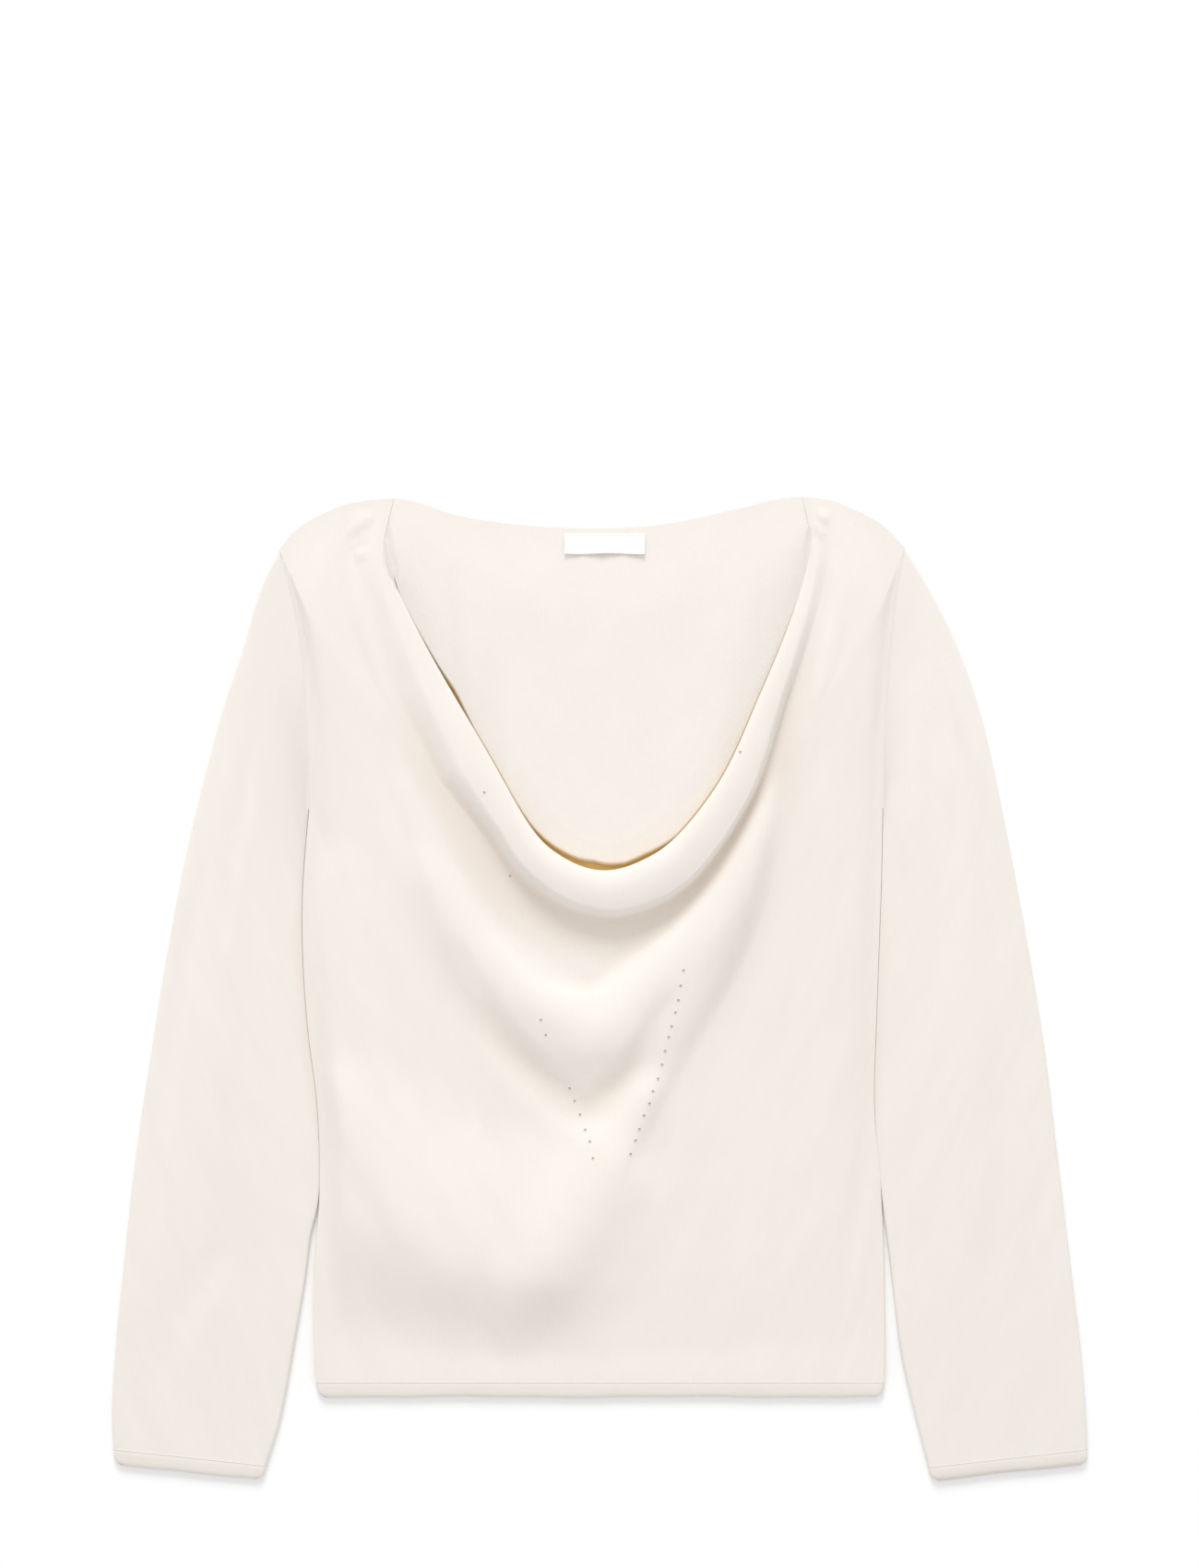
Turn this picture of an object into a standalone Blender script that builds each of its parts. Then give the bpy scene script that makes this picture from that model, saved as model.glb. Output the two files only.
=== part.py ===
"""A fine-knit cowl neck sweater, laid flat on a surface with its front up.

Sizes are in millimetres until a mesh is made, and in metres there, with +Z up. Seen from above,
+X is to the right and +Y runs from the hem to the neck. Left and right are those of this view.
"""

import math
from collections import Counter

import bpy

MM = 0.001

# Cloth
WALL = 1.2  # one layer of fine jersey
LAYER_GAP = 0.3  # between two layers that lie on each other
SEAM_GAP = 0.4  # between two pieces along a seam
BACK_TOP = WALL
FRONT_LEVEL = BACK_TOP + LAYER_GAP + WALL  # outer skin of the front where it lies on the back
ROLL_MIN = 1.35  # tightest bend of an outer skin, so that the wall inside it stays open

# Sizes read from the outline of the garment
BAND_HEIGHT = 10.5  # hem and cuff bands
LABEL_SIZE = (54.0, 13.5)
LABEL_CENTRE = (3.5, 300.0)
LABEL_WALL = 1.0

# Corners of the two body panels
NECK = {"left": (-138.0, 330.0), "right": (136.0, 331.0)}
SHOULDER = {"left": (-215.0, 296.0), "right": (205.0, 297.0)}
UNDERARM = {"left": (-195.0, 120.0), "right": (190.0, 120.0)}
HEM = {"left": (-190.0, -263.0), "right": (191.0, -263.0)}

# Points between the corners, from the neck down
SHOULDER_BETWEEN = {
    "left": ((-168, 327), (-192, 317), (-205, 308)),
    "right": ((155, 329), (179, 319), (193, 310)),
}
ARMHOLE_BETWEEN = {
    "left": ((-208, 269), (-201, 232), (-197, 180)),
    "right": ((200, 269), (196, 232), (192, 180)),
}
SIDE_BETWEEN = {
    "left": ((-199, 70), (-199, 21), (-195.5, -29), (-189.5, -78), (-188, -134), (-192, -202)),
    "right": ((189, 70), (186, -16), (184.5, -78), (189, -134), (191, -202)),
}
BACK_NECK_BETWEEN = ((-118, 326), (-93, 318), (-50, 312), (0, 310), (45, 313), (93, 323), (117, 329))
FRONT_NECK_BETWEEN = (
    (-144, 292), (-131, 260), (-109, 218), (-75, 160), (-46, 110), (-25, 90),
    (0, 81), (25, 86), (52, 104), (83, 145), (108, 200), (124, 238), (135, 270), (141, 300),
)

# The sleeves below the body's corners: the outer fold, and the inner fold once it leaves the body
SLEEVE_OUTER = {
    "left": ((-228, 269), (-239, 232), (-255, 182), (-274, 108), (-289, 33), (-301, -41),
             (-312, -116), (-320, -190), (-325, -240), (-327.5, -283), (-326, -308)),
    "right": ((222, 269), (240, 232), (257, 182), (273, 108), (287, 33), (299, -41),
              (308, -116), (317, -190), (323, -240), (326.5, -283), (327.5, -308)),
}
SLEEVE_INNER = {
    "left": ((-194, -165), (-198, -196), (-206, -243), (-214, -286), (-224, -319)),
    "right": ((193, -165), (196, -190), (202, -240), (210, -277), (221, -320)),
}
SIDE_POINTS_SHARED = {"left": 5, "right": 4}  # the body's side points that a sleeve lies against
SLEEVE_CLEARANCE = 0.8
SHOULDER_EASE = 0.6  # added to that clearance at the shoulder corner, where a sleeve's fold starts

# The rolled lip of the cowl, a row for each place along the neck edge
# share of the edge from the left, width of the lip, its rise, lift of the turned-in facing
LIP_ROWS = (
    (0.00, 14.0, 2.2, 0.4),
    (0.10, 19.0, 3.2, 0.8),
    (0.21, 24.0, 7.0, 1.8),
    (0.33, 28.0, 12.0, 1.2),
    (0.50, 33.0, 17.5, 3.2),
    (0.64, 28.0, 15.0, 1.0),
    (0.76, 23.0, 9.5, 0.8),
    (0.90, 17.0, 3.8, 0.6),
    (1.00, 14.0, 2.2, 0.4),
)
LIP_BROW = 0.84  # the lip's height at the neck edge, as a share of its full rise
BROW_END = 0.7  # where the brow's bulge ends, in widths of the lip
LIP_DROP = (1.0, 0.62)  # where the lip has come down, and where it starts to, in its widths
ROLL_REACH = 3.6  # half the width of the roll, level
ROLL_GIVE = 0.2  # the share of the rows in which the roll's set-back fades
FACING_SHARE = 0.62  # how far the facing reaches under the lip
SHOULDER_TURN = 0.08  # the share of the neck edge in which the lip turns along the shoulder
SHOULDER_AIM = 0.25  # the place on the shoulder line that it turns to

# Long folds, a row for each: name, reach to the left and to the right of its run,
# rise at the ends and the middle (a trough has a rise below zero), and the route of its line
FRONT_FOLDS = (
    ("swag under the lip", 36, 36, 0.4, 10.5,
     ((-124, 112), (-112, 74), (-91, 36), (-64, 3), (-34, -21), (-6, -31), (21, -21),
      (46, 8), (70, 40), (92, 76), (108, 112), (118, 146))),
    ("hollow of the V", 14, 18, -0.6, -3.2,
     ((-99, 45), (-85, 5), (-62, -32), (-36, -56), (-6, -70), (16, -52), (36, -22), (55, 8))),
    ("edge of the V", 18, 16, 0.4, 4.4,
     ((119, 156), (113, 124), (105, 88), (92, 50), (79, 19), (63, -11), (44, -43), (30, -70),
      (18, -100), (4, -130))),
    ("lower edge of the V", 60, 44, 0.4, 6.0,
     ((22, -92), (4, -120), (-14, -146), (-28, -176), (-40, -204), (-56, -238))),
    ("left drag", 26, 14, 0.3, 1.8, ((-138, 150), (-124, 110), (-110, 72), (-94, 20), (-74, -20))),
    ("belly, lower edge", 85, 60, 0.8, 8.0,
     ((-188, 10), (-184, -50), (-168, -106), (-148, -136), (-118, -154), (-75, -160),
      (-35, -153), (-8, -134))),
    ("right lower crease", 12, 16, -0.5, -2.6, ((182, -80), (178, -130), (170, -180), (159, -228))),
)
SLEEVE_FOLDS = {
    "left": (
        ("long swell", 24, 32, 0.2, 1.2, ((-236, 190), (-258, 60), (-268, -78), (-262, -190))),
        ("crease above the cuff", 14, 18, -0.3, -2.0, ((-262, -160), (-284, -205), (-306, -262))),
        ("crease at the outer fold", 14, 12, -0.2, -1.2, ((-262, 96), (-278, 30), (-292, -70))),
    ),
    "right": (
        ("long swell", 26, 24, 0.2, 1.2, ((228, 190), (242, 60), (250, -78), (262, -200))),
        ("crease below the shoulder", 14, 11, -0.3, -1.6, ((232, 168), (248, 118), (268, 58), (280, 0))),
        ("crease at the outer fold", 18, 12, -0.2, -1.4, ((290, -60), (300, -140), (308, -230))),
    ),
}
FOLD_GROWTH = 0.8  # how soon a fold grows from its ends to its middle
FOLD_RUN_OUT = 0.08  # the share of a fold's route in which it fades at each end
REACH_AT_END = 0.35  # the reach at a fold's ends, as a share of its reach in the middle

# How full the layers lie
FRONT_LIFT = 0.05  # added to the front's level, so that its border never touches the back
FRONT_SWELL = 3.0  # rise of the front inside its border
SWELL_AT_LIP = 0.35  # the share of that rise beside the lip
SWELL_GROWTH = (1.0, 2.6)  # where it starts to grow and is full, in widths of the lip
FOLDS_BEYOND_LIP = (0.75, 1.6)  # where the long folds start and are full, in widths of the lip
CHEST_SWELL = ((-10.0, -50.0), 110.0, 1.8)  # centre, radius and rise of the gathered chest
BORDER_SHARE = 0.08  # the border's share of the panel's width
HEM_SHARE = 0.18  # the share of its height in which the front comes down to the hem
SLEEVE_SWELL = 1.5
SLEEVE_FILL = (0.35, 0.70)  # the shares of its length in which a sleeve fills out and flattens again
ARMHOLE_HOLD = 6  # how fast a sleeve's rings let go of the armhole's curve
INNER_LAG = 1.7  # a sleeve's rings fan out from the underarm by this power
TUBE_EDGE = 3.8  # height of a flattened tube at its folds
SLANT_MIN = 0.15  # the flattest angle, as a sine, at which a ring is taken to meet its fold
LABEL_LIFT = 0.9  # of the label's lower edge
LABEL_WAVE = (0.4, 0.23, 1.0)  # its share of that lift, its turn in radians a millimetre, its start

# Mesh rows: from share, to share, number of rows
W_SHOULDER = 0.30  # the row that ends at the shoulder corners
W_UNDERARM = 0.55  # the row that ends at the underarm corners
FRONT_ROWS = ((0.0, W_SHOULDER, 10), (W_SHOULDER, W_UNDERARM, 11), (W_UNDERARM, 1.0, 12))
FRONT_COLUMNS = 42
CENTRE_CROWDING = 0.15  # columns lie closer at the bottom of the neck edge
SIDE_HOLD = (6.0, 2.2)  # how fast the border lets go of the rows, across and down
ROLL_STEPS = 6
FACING_STEPS = 2
BACK_ROWS = 22
BACK_ARMHOLE_ROWS = 9  # the back's row that ends at the underarm corners
BACK_COLUMNS = 24
SLEEVE_RINGS = 20
SLEEVE_ACROSS = 10
BAND_ACROSS = {"hem": 26, "cuff": 10}
CAP_STEPS = 4  # edges round the fold of a flattened tube
# A band's rings: share of its height, inset of its rounded ends
BAND_ROWS = ((0.0, 0.0), (0.4, 0.3), (0.65, 1.2), (0.85, 3.0), (1.0, 5.5))
LABEL_GRID = (14, 3)  # columns and rows of the label's mesh
NEAR = 0.01  # the share of a line to each side that shows its run

COLOURS = {
    "ivory": (0.90, 0.85, 0.77),
    "label": (0.93, 0.93, 0.92),
}


def smooth_line(points, steps=10):
    """A Catmull-Rom curve through the points, as a dense line."""
    ends = [points[0], *points, points[-1]]
    line = []
    for a, b, c, d in zip(ends, ends[1:], ends[2:], ends[3:]):
        for i in range(steps):
            t = i / steps
            line.append(tuple(
                q + 0.5 * ((r - p) * t + (2 * p - 5 * q + 4 * r - s) * t**2 + (3 * q - p - 3 * r + s) * t**3)
                for p, q, r, s in zip(a, b, c, d)
            ))
    line.append(tuple(float(x) for x in points[-1]))
    return line


def shares_of(line):
    """The share of its length that a line has reached at each of its points."""
    reached = [0.0]
    for a, b in zip(line, line[1:]):
        reached.append(reached[-1] + math.dist(a, b))
    return [r / reached[-1] for r in reached]


def pick(share, rows, column=1):
    """A column of a table, read between its rows at a share."""
    for a, b in zip(rows, rows[1:]):
        if share <= b[0]:
            t = (share - a[0]) / (b[0] - a[0])
            return a[column] + (b[column] - a[column]) * max(t, 0.0)
    return rows[-1][column]


class Line:
    """A smooth line in the plane that can be read by the share of its length."""

    def __init__(self, points):
        self.points = smooth_line(points)
        self.shares = shares_of(self.points)

    def at(self, share):
        share = min(max(share, 0.0), 1.0)
        for i in range(1, len(self.points)):
            if share <= self.shares[i]:
                a, b = self.points[i - 1], self.points[i]
                t = (share - self.shares[i - 1]) / (self.shares[i] - self.shares[i - 1])
                return (a[0] + (b[0] - a[0]) * t, a[1] + (b[1] - a[1]) * t)
        return self.points[-1]

    def side_way(self, share):
        """The unit vector square to the line, to the right of its run."""
        a, b = self.at(share - NEAR), self.at(share + NEAR)
        long = math.dist(a, b)
        return ((b[1] - a[1]) / long, (a[0] - b[0]) / long)

    def nearest(self, x, y):
        """The distance to the line, the share at its nearest place, and whether (x, y) is to its left."""
        best, where, left = math.inf, 0.0, False
        for i in range(1, len(self.points)):
            (ax, ay), (bx, by) = self.points[i - 1], self.points[i]
            dx, dy = bx - ax, by - ay
            t = min(max(((x - ax) * dx + (y - ay) * dy) / (dx * dx + dy * dy), 0.0), 1.0)
            far = math.hypot(x - ax - t * dx, y - ay - t * dy)
            if far < best:
                best = far
                where = self.shares[i - 1] + t * (self.shares[i] - self.shares[i - 1])
                left = dx * (y - ay) - dy * (x - ax) > 0
        return best, where, left


def soft_step(low, high, x):
    """0 below low, 1 above high, and a smooth rise between."""
    t = min(max((x - low) / (high - low), 0.0), 1.0)
    return t * t * (3 - 2 * t)


def fold_height(folds, x, y):
    """What the folds of a table add at a place."""
    total = 0.0
    for line, reach_left, reach_right, end_rise, mid_rise in folds:
        far, share, left = line.nearest(x, y)
        middle = math.sin(math.pi * share) ** FOLD_GROWTH
        reach = (reach_left if left else reach_right) * (REACH_AT_END + (1 - REACH_AT_END) * middle)
        if far < reach:
            run_out = soft_step(0.0, FOLD_RUN_OUT, share) * soft_step(0.0, FOLD_RUN_OUT, 1 - share)
            rise = (end_rise + (mid_rise - end_rise) * middle) * run_out
            total += rise * math.cos(0.5 * math.pi * far / reach) ** 2
    return total


def read_folds(table):
    return [(Line(route), *sizes) for _, *sizes, route in table]


NECK_EDGE = Line((NECK["left"], *FRONT_NECK_BETWEEN, NECK["right"]))
SHOULDER_EDGE = {s: Line((NECK[s], *SHOULDER_BETWEEN[s], SHOULDER[s])) for s in NECK}
ARMHOLE_EDGE = {s: Line((SHOULDER[s], *ARMHOLE_BETWEEN[s], UNDERARM[s])) for s in NECK}
SIDE_EDGE = {s: Line((UNDERARM[s], *SIDE_BETWEEN[s], HEM[s])) for s in NECK}
FRONT_FOLD_LINES = read_folds(FRONT_FOLDS)
SLEEVE_FOLD_LINES = {s: read_folds(SLEEVE_FOLDS[s]) for s in NECK}


def edge_of_front(side, w):
    """The front's border from the neck corner over the shoulder and the armhole to the hem."""
    if w <= W_SHOULDER:
        return SHOULDER_EDGE[side].at(w / W_SHOULDER)
    if w <= W_UNDERARM:
        return ARMHOLE_EDGE[side].at((w - W_SHOULDER) / (W_UNDERARM - W_SHOULDER))
    return SIDE_EDGE[side].at((w - W_UNDERARM) / (1 - W_UNDERARM))


def neck_share(u):
    return u + CENTRE_CROWDING * math.sin(2 * math.pi * u) / (2 * math.pi)


def between(a, b, t):
    return tuple(p + (q - p) * t for p, q in zip(a, b))


def front_place(u, w):
    """A place on the front: u runs from the left border to the right, w from the neck edge to the hem."""
    neck = NECK_EDGE.at(neck_share(u))
    hem = between(HEM["left"], HEM["right"], u)
    x, y = between(neck, hem, w)
    for side, near in (("left", 1 - u), ("right", u)):
        free = between(NECK[side], HEM[side], w)
        edge = edge_of_front(side, w)
        x += near ** SIDE_HOLD[0] * (edge[0] - free[0])
        y += near ** SIDE_HOLD[1] * (edge[1] - free[1])
    return x, y


def away_from_neck(u):
    """The way from the neck edge into the front, which turns along the shoulders at both ends."""
    x, y = NECK_EDGE.side_way(neck_share(u))
    for side, inward in (("left", u), ("right", 1 - u)):
        hold = soft_step(SHOULDER_TURN, 0.0, inward)
        along = SHOULDER_EDGE[side].at(SHOULDER_AIM)
        run = math.dist(along, NECK[side])
        x += hold * ((along[0] - NECK[side][0]) / run - x)
        y += hold * ((along[1] - NECK[side][1]) / run - y)
    long = math.hypot(x, y)
    return x / long, y / long


def front_height(u, w, x, y):
    """The outer skin of the front above the surface."""
    border = soft_step(0.0, BORDER_SHARE, min(u, 1 - u)) * soft_step(0.0, HEM_SHARE, 1 - w)
    far, share, _ = NECK_EDGE.nearest(x, y)
    t = far / pick(share, LIP_ROWS, 1)
    brow = LIP_BROW + (1 - LIP_BROW) * math.sin(min(t / BROW_END, 1.0) * math.pi)
    lip = pick(share, LIP_ROWS, 2) * brow * soft_step(*LIP_DROP, t)
    (cx, cy), radius, rise = CHEST_SWELL
    chest = rise * soft_step(radius, 0.0, math.hypot(x - cx, y - cy))
    folds = fold_height(FRONT_FOLD_LINES, x, y) * soft_step(*FOLDS_BEYOND_LIP, t)
    swell = FRONT_SWELL * (SWELL_AT_LIP + (1 - SWELL_AT_LIP) * soft_step(*SWELL_GROWTH, t)) + chest
    return FRONT_LEVEL + FRONT_LIFT + lip + max(border * (swell + folds), 0.0)


def front_sections():
    """Rows of points across the front, from the facing's free edge over the rolled lip to the hem."""
    columns = [i / FRONT_COLUMNS for i in range(FRONT_COLUMNS + 1)]
    shares = [a + (b - a) * i / n for a, b, n in FRONT_ROWS for i in range(n)] + [1.0]
    rows = [[] for _ in range(FACING_STEPS + ROLL_STEPS + len(shares))]
    for u in columns:
        share = neck_share(u)
        neck, way = NECK_EDGE.at(share), away_from_neck(u)
        under = BACK_TOP + LAYER_GAP + pick(share, LIP_ROWS, 3)
        x, y = neck[0] + way[0] * ROLL_REACH, neck[1] + way[1] * ROLL_REACH
        half = (front_height(u, 0.0, x, y) - under) / 2
        reach = min(ROLL_REACH, half * half / ROLL_MIN)
        facing = pick(share, LIP_ROWS, 1) * FACING_SHARE
        column = []
        for i in range(FACING_STEPS):
            d = facing + (reach - facing) * i / FACING_STEPS
            column.append((neck[0] + way[0] * d, neck[1] + way[1] * d, under))
        for i in range(ROLL_STEPS):
            angle = math.pi * i / ROLL_STEPS
            d = reach * (1 - math.sin(angle))
            z = under + half * (1 - math.cos(angle))
            column.append((neck[0] + way[0] * d, neck[1] + way[1] * d, z))
        for w in shares:
            x, y = front_place(u, w)
            give = reach * (1 - soft_step(0.0, ROLL_GIVE, w))
            x, y = x + way[0] * give, y + way[1] * give
            if w == 0.0:
                column.append((x, y, under + 2 * half))
            else:
                column.append((x, y, front_height(u, w, x, y)))
        for row, point in zip(rows, column):
            row.append(point)
    return rows


def back_sections():
    """Rows of points across the back, flat on the surface."""
    top_edge = Line((
        SHOULDER["left"], *reversed(SHOULDER_BETWEEN["left"]), NECK["left"], *BACK_NECK_BETWEEN,
        NECK["right"], *SHOULDER_BETWEEN["right"], SHOULDER["right"],
    ))
    corner = BACK_ARMHOLE_ROWS / BACK_ROWS
    rows = []
    for j in range(BACK_ROWS + 1):
        w = j / BACK_ROWS
        edge = {}
        for side in NECK:
            if w <= corner:
                edge[side] = ARMHOLE_EDGE[side].at(w / corner)
            else:
                edge[side] = SIDE_EDGE[side].at((w - corner) / (1 - corner))
        row = []
        for i in range(BACK_COLUMNS + 1):
            u = i / BACK_COLUMNS
            x, y = between(top_edge.at(u), between(HEM["left"], HEM["right"], u), w)
            for side, hold in (("left", 1 - u), ("right", u)):
                free = between(SHOULDER[side], HEM[side], w)
                x += hold * (edge[side][0] - free[0])
                y += hold * (edge[side][1] - free[1])
            row.append((x, y, BACK_TOP))
        rows.append(row)
    return rows


def fold_sine(ends, j, way):
    """The sine of the angle between ring j, which runs along way, and the fold through the rings' ends."""
    a, b = ends[max(j - 1, 0)], ends[min(j + 1, len(ends) - 1)]
    run = (b[0] - a[0], b[1] - a[1])
    return abs(run[0] * way[1] - run[1] * way[0]) / math.hypot(*run)


def flat_ring(place, width, top, across, sines):
    """A closed ring of points round a flattened tube, whose underside lies on the surface.

    place(d) gives the point at a distance from the outer fold, top(t) the height at a share across,
    and sines how the ring meets its two folds: the flatter the angle, the longer its round end.
    """
    half = TUBE_EDGE / 2
    first, second = (half / max(sine, SLANT_MIN) for sine in sines)
    last = width - second
    ring = []

    def add(d, z):
        ring.append((*place(d), z))

    for i in range(across + 1):
        add(first + (last - first) * i / across, 0.0)
    for i in range(1, CAP_STEPS):
        angle = math.pi * i / CAP_STEPS
        add(last + second * math.sin(angle), half * (1 - math.cos(angle)))
    for i in range(across, -1, -1):
        d = first + (last - first) * i / across
        add(d, top(d / width) if 0 < i < across else TUBE_EDGE)
    for i in range(1, CAP_STEPS):
        angle = math.pi * i / CAP_STEPS
        add(first - first * math.sin(angle), half * (1 + math.cos(angle)))
    return ring


def sleeve_edges(side):
    """The outer and inner folds of a sleeve, from the armhole to the cuff."""
    out = -1 if side == "left" else 1
    start = (SHOULDER[side][0] + out * (SLEEVE_CLEARANCE + SHOULDER_EASE), SHOULDER[side][1])
    outer = Line((start, *SLEEVE_OUTER[side]))
    beside = [(x + out * SLEEVE_CLEARANCE, y) for x, y in SIDE_BETWEEN[side][:SIDE_POINTS_SHARED[side]]]
    arm = (UNDERARM[side][0] + out * SLEEVE_CLEARANCE, UNDERARM[side][1])
    inner = Line((arm, *beside, *SLEEVE_INNER[side]))
    return outer, inner


def sleeve_sections(side):
    """Rings round a sleeve, the first along the armhole and the last above the cuff."""
    outer, inner = sleeve_edges(side)
    shares = [j / SLEEVE_RINGS for j in range(SLEEVE_RINGS + 1)]
    starts = [outer.at(v) for v in shares]
    ends = [inner.at(v ** INNER_LAG) for v in shares]
    rings = []
    for j, (v, a, b) in enumerate(zip(shares, starts, ends)):
        width = math.dist(a, b)
        bow = (1 - v) ** ARMHOLE_HOLD
        full = soft_step(0.0, SLEEVE_FILL[0], v) * soft_step(0.0, SLEEVE_FILL[1], 1 - v)

        def place(d):
            t = d / width
            arm = ARMHOLE_EDGE[side].at(t)
            chord = between(SHOULDER[side], UNDERARM[side], t)
            x, y = between(a, b, t)
            return x + bow * (arm[0] - chord[0]), y + bow * (arm[1] - chord[1])

        def top(t):
            x, y = place(t * width)
            inside = math.sin(math.pi * min(max(t, 0.0), 1.0))
            swell = SLEEVE_SWELL + fold_height(SLEEVE_FOLD_LINES[side], x, y)
            return TUBE_EDGE + inside * full * max(swell, 0.0)

        sines = []
        for fold, d in ((starts, 0.0), (ends, width)):
            p, q = place(d - NEAR * width), place(d + NEAR * width)
            long = math.dist(p, q)
            sines.append(fold_sine(fold, j, ((q[0] - p[0]) / long, (q[1] - p[1]) / long)))
        rings.append(flat_ring(place, width, top, SLEEVE_ACROSS, sines))
    return rings


def band_sections(a, b, down, across):
    """Rings round a knitted band that hangs from the line between a and b, with rounded lower corners."""
    long = math.dist(a, b)
    way = ((b[0] - a[0]) / long, (b[1] - a[1]) / long)
    drops = [SEAM_GAP + (BAND_HEIGHT - SEAM_GAP) * share for share, _ in BAND_ROWS]
    corners = list(zip((inset for _, inset in BAND_ROWS), drops))
    rings = []
    for j, (inset, drop) in enumerate(corners):
        start = (a[0] + down[0] * drop, a[1] + down[1] * drop)

        def place(d):
            return start[0] + way[0] * (inset + d), start[1] + way[1] * (inset + d)

        sine = fold_sine(corners, j, (1.0, 0.0))
        rings.append(flat_ring(place, long - 2 * inset, lambda t: TUBE_EDGE, across, (sine, sine)))
    return rings


def cuff_sections(side):
    outer, inner = sleeve_edges(side)
    a, b = outer.at(1.0), inner.at(1.0)
    long = math.dist(a, b)
    turn = 1 if side == "left" else -1
    down = (turn * (b[1] - a[1]) / long, -turn * (b[0] - a[0]) / long)
    return band_sections(a, b, down, BAND_ACROSS["cuff"])


def label_sections():
    """The label's upper face, a little wavy along its lower edge."""
    wide, high = LABEL_SIZE
    columns, rows_down = LABEL_GRID
    share, turn, start = LABEL_WAVE
    rows = []
    for j in range(rows_down + 1):
        row = []
        for i in range(columns + 1):
            x = LABEL_CENTRE[0] + wide * (i / columns - 0.5)
            y = LABEL_CENTRE[1] + high * (0.5 - j / rows_down)
            lift = LABEL_LIFT * (j / rows_down) ** 2 * (1 - share + share * math.sin(x * turn + start))
            row.append((x, y, BACK_TOP + LAYER_GAP + LABEL_WALL + lift))
        rows.append(row)
    return rows


def material(name, colour):
    mat = bpy.data.materials.new(name)
    mat.use_nodes = True
    shader = mat.node_tree.nodes["Principled BSDF"]
    shader.inputs["Base Color"].default_value = (*colour, 1.0)
    shader.inputs["Roughness"].default_value = 0.9
    shader.inputs["Metallic"].default_value = 0.0
    return mat


def cloth(name, rows, colour, closed, wall=WALL):
    """A wall of cloth: an outer skin lofted through rows of points, thickened inwards by Solidify."""
    count = len(rows[0])
    points = [tuple(c * MM for c in point) for row in rows for point in row]
    faces = []
    for j in range(len(rows) - 1):
        for i in range(count if closed else count - 1):
            k = (i + 1) % count
            faces.append((j * count + i, (j + 1) * count + i, (j + 1) * count + k, j * count + k))
    mesh = bpy.data.meshes.new(name)
    mesh.from_pydata(points, [], faces)
    mesh.shade_smooth()
    shared = Counter(key for polygon in mesh.polygons for key in polygon.edge_keys)
    for edge in mesh.edges:
        edge.use_edge_sharp = shared[edge.key] == 1
    thing = bpy.data.objects.new(name, mesh)
    garment.objects.link(thing)
    mesh.materials.append(material(name + "_cloth", colour))
    thick = thing.modifiers.new("Wall", "SOLIDIFY")
    thick.thickness = wall * MM
    thick.offset = -1.0
    thick.use_quality_normals = True
    return thing


def flipped(rings):
    """The same rings run the other way round, so that their outer side faces out."""
    return [list(reversed(ring)) for ring in rings]


for thing in list(bpy.data.objects):
    bpy.data.objects.remove(thing)

garment = bpy.data.collections.new("cowl_neck_sweater")
bpy.context.scene.collection.children.link(garment)

cloth("back_panel", back_sections(), COLOURS["ivory"], closed=False)
cloth("front_panel", front_sections(), COLOURS["ivory"], closed=False)
cloth("sleeve_left", flipped(sleeve_sections("left")), COLOURS["ivory"], closed=True)
cloth("sleeve_right", sleeve_sections("right"), COLOURS["ivory"], closed=True)
cloth("hem_band", flipped(band_sections(HEM["left"], HEM["right"], (0.0, -1.0), BAND_ACROSS["hem"])),
      COLOURS["ivory"], closed=True)
cloth("cuff_left", flipped(cuff_sections("left")), COLOURS["ivory"], closed=True)
cloth("cuff_right", cuff_sections("right"), COLOURS["ivory"], closed=True)
cloth("neck_label", label_sections(), COLOURS["label"], closed=False, wall=LABEL_WALL)
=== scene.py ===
# %% [markdown]
# # A cowl neck sweater, laid flat
# The garment is a fine jersey top that lies front up on a pale surface. Its front falls in a rolled
# lip and soft swags round the neck. The solid model gives the place and size of each piece, and this
# lesson puts fine cloth over it. It is one reading order: lines first, then cloth, then small
# sewing, then finishes, light and camera.

# %% Start with the solid model
import math
import random

import bmesh
import bpy
import numpy as np
from mathutils import Matrix, Vector
from mathutils.bvhtree import BVHTree


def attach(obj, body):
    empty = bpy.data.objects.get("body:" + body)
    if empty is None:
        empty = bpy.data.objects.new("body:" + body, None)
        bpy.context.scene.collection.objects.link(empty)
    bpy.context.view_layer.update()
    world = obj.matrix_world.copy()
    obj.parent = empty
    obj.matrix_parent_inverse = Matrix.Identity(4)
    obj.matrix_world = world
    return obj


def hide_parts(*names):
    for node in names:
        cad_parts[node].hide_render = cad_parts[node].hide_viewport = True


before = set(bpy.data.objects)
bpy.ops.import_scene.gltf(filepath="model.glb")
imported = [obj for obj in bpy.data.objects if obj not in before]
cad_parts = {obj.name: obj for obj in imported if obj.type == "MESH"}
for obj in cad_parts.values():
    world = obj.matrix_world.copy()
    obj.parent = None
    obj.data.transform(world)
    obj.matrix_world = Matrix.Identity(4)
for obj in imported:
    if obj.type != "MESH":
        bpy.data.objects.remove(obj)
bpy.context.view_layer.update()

# %% [markdown]
# ## Measures
# A knitter thinks in millimetres, so all sizes here are in millimetres, and `MM` turns them into
# metres when a mesh is made. The wall of the jersey is thinner than in the solid model, because real
# jersey of this gauge is about a millimetre thick.

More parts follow.
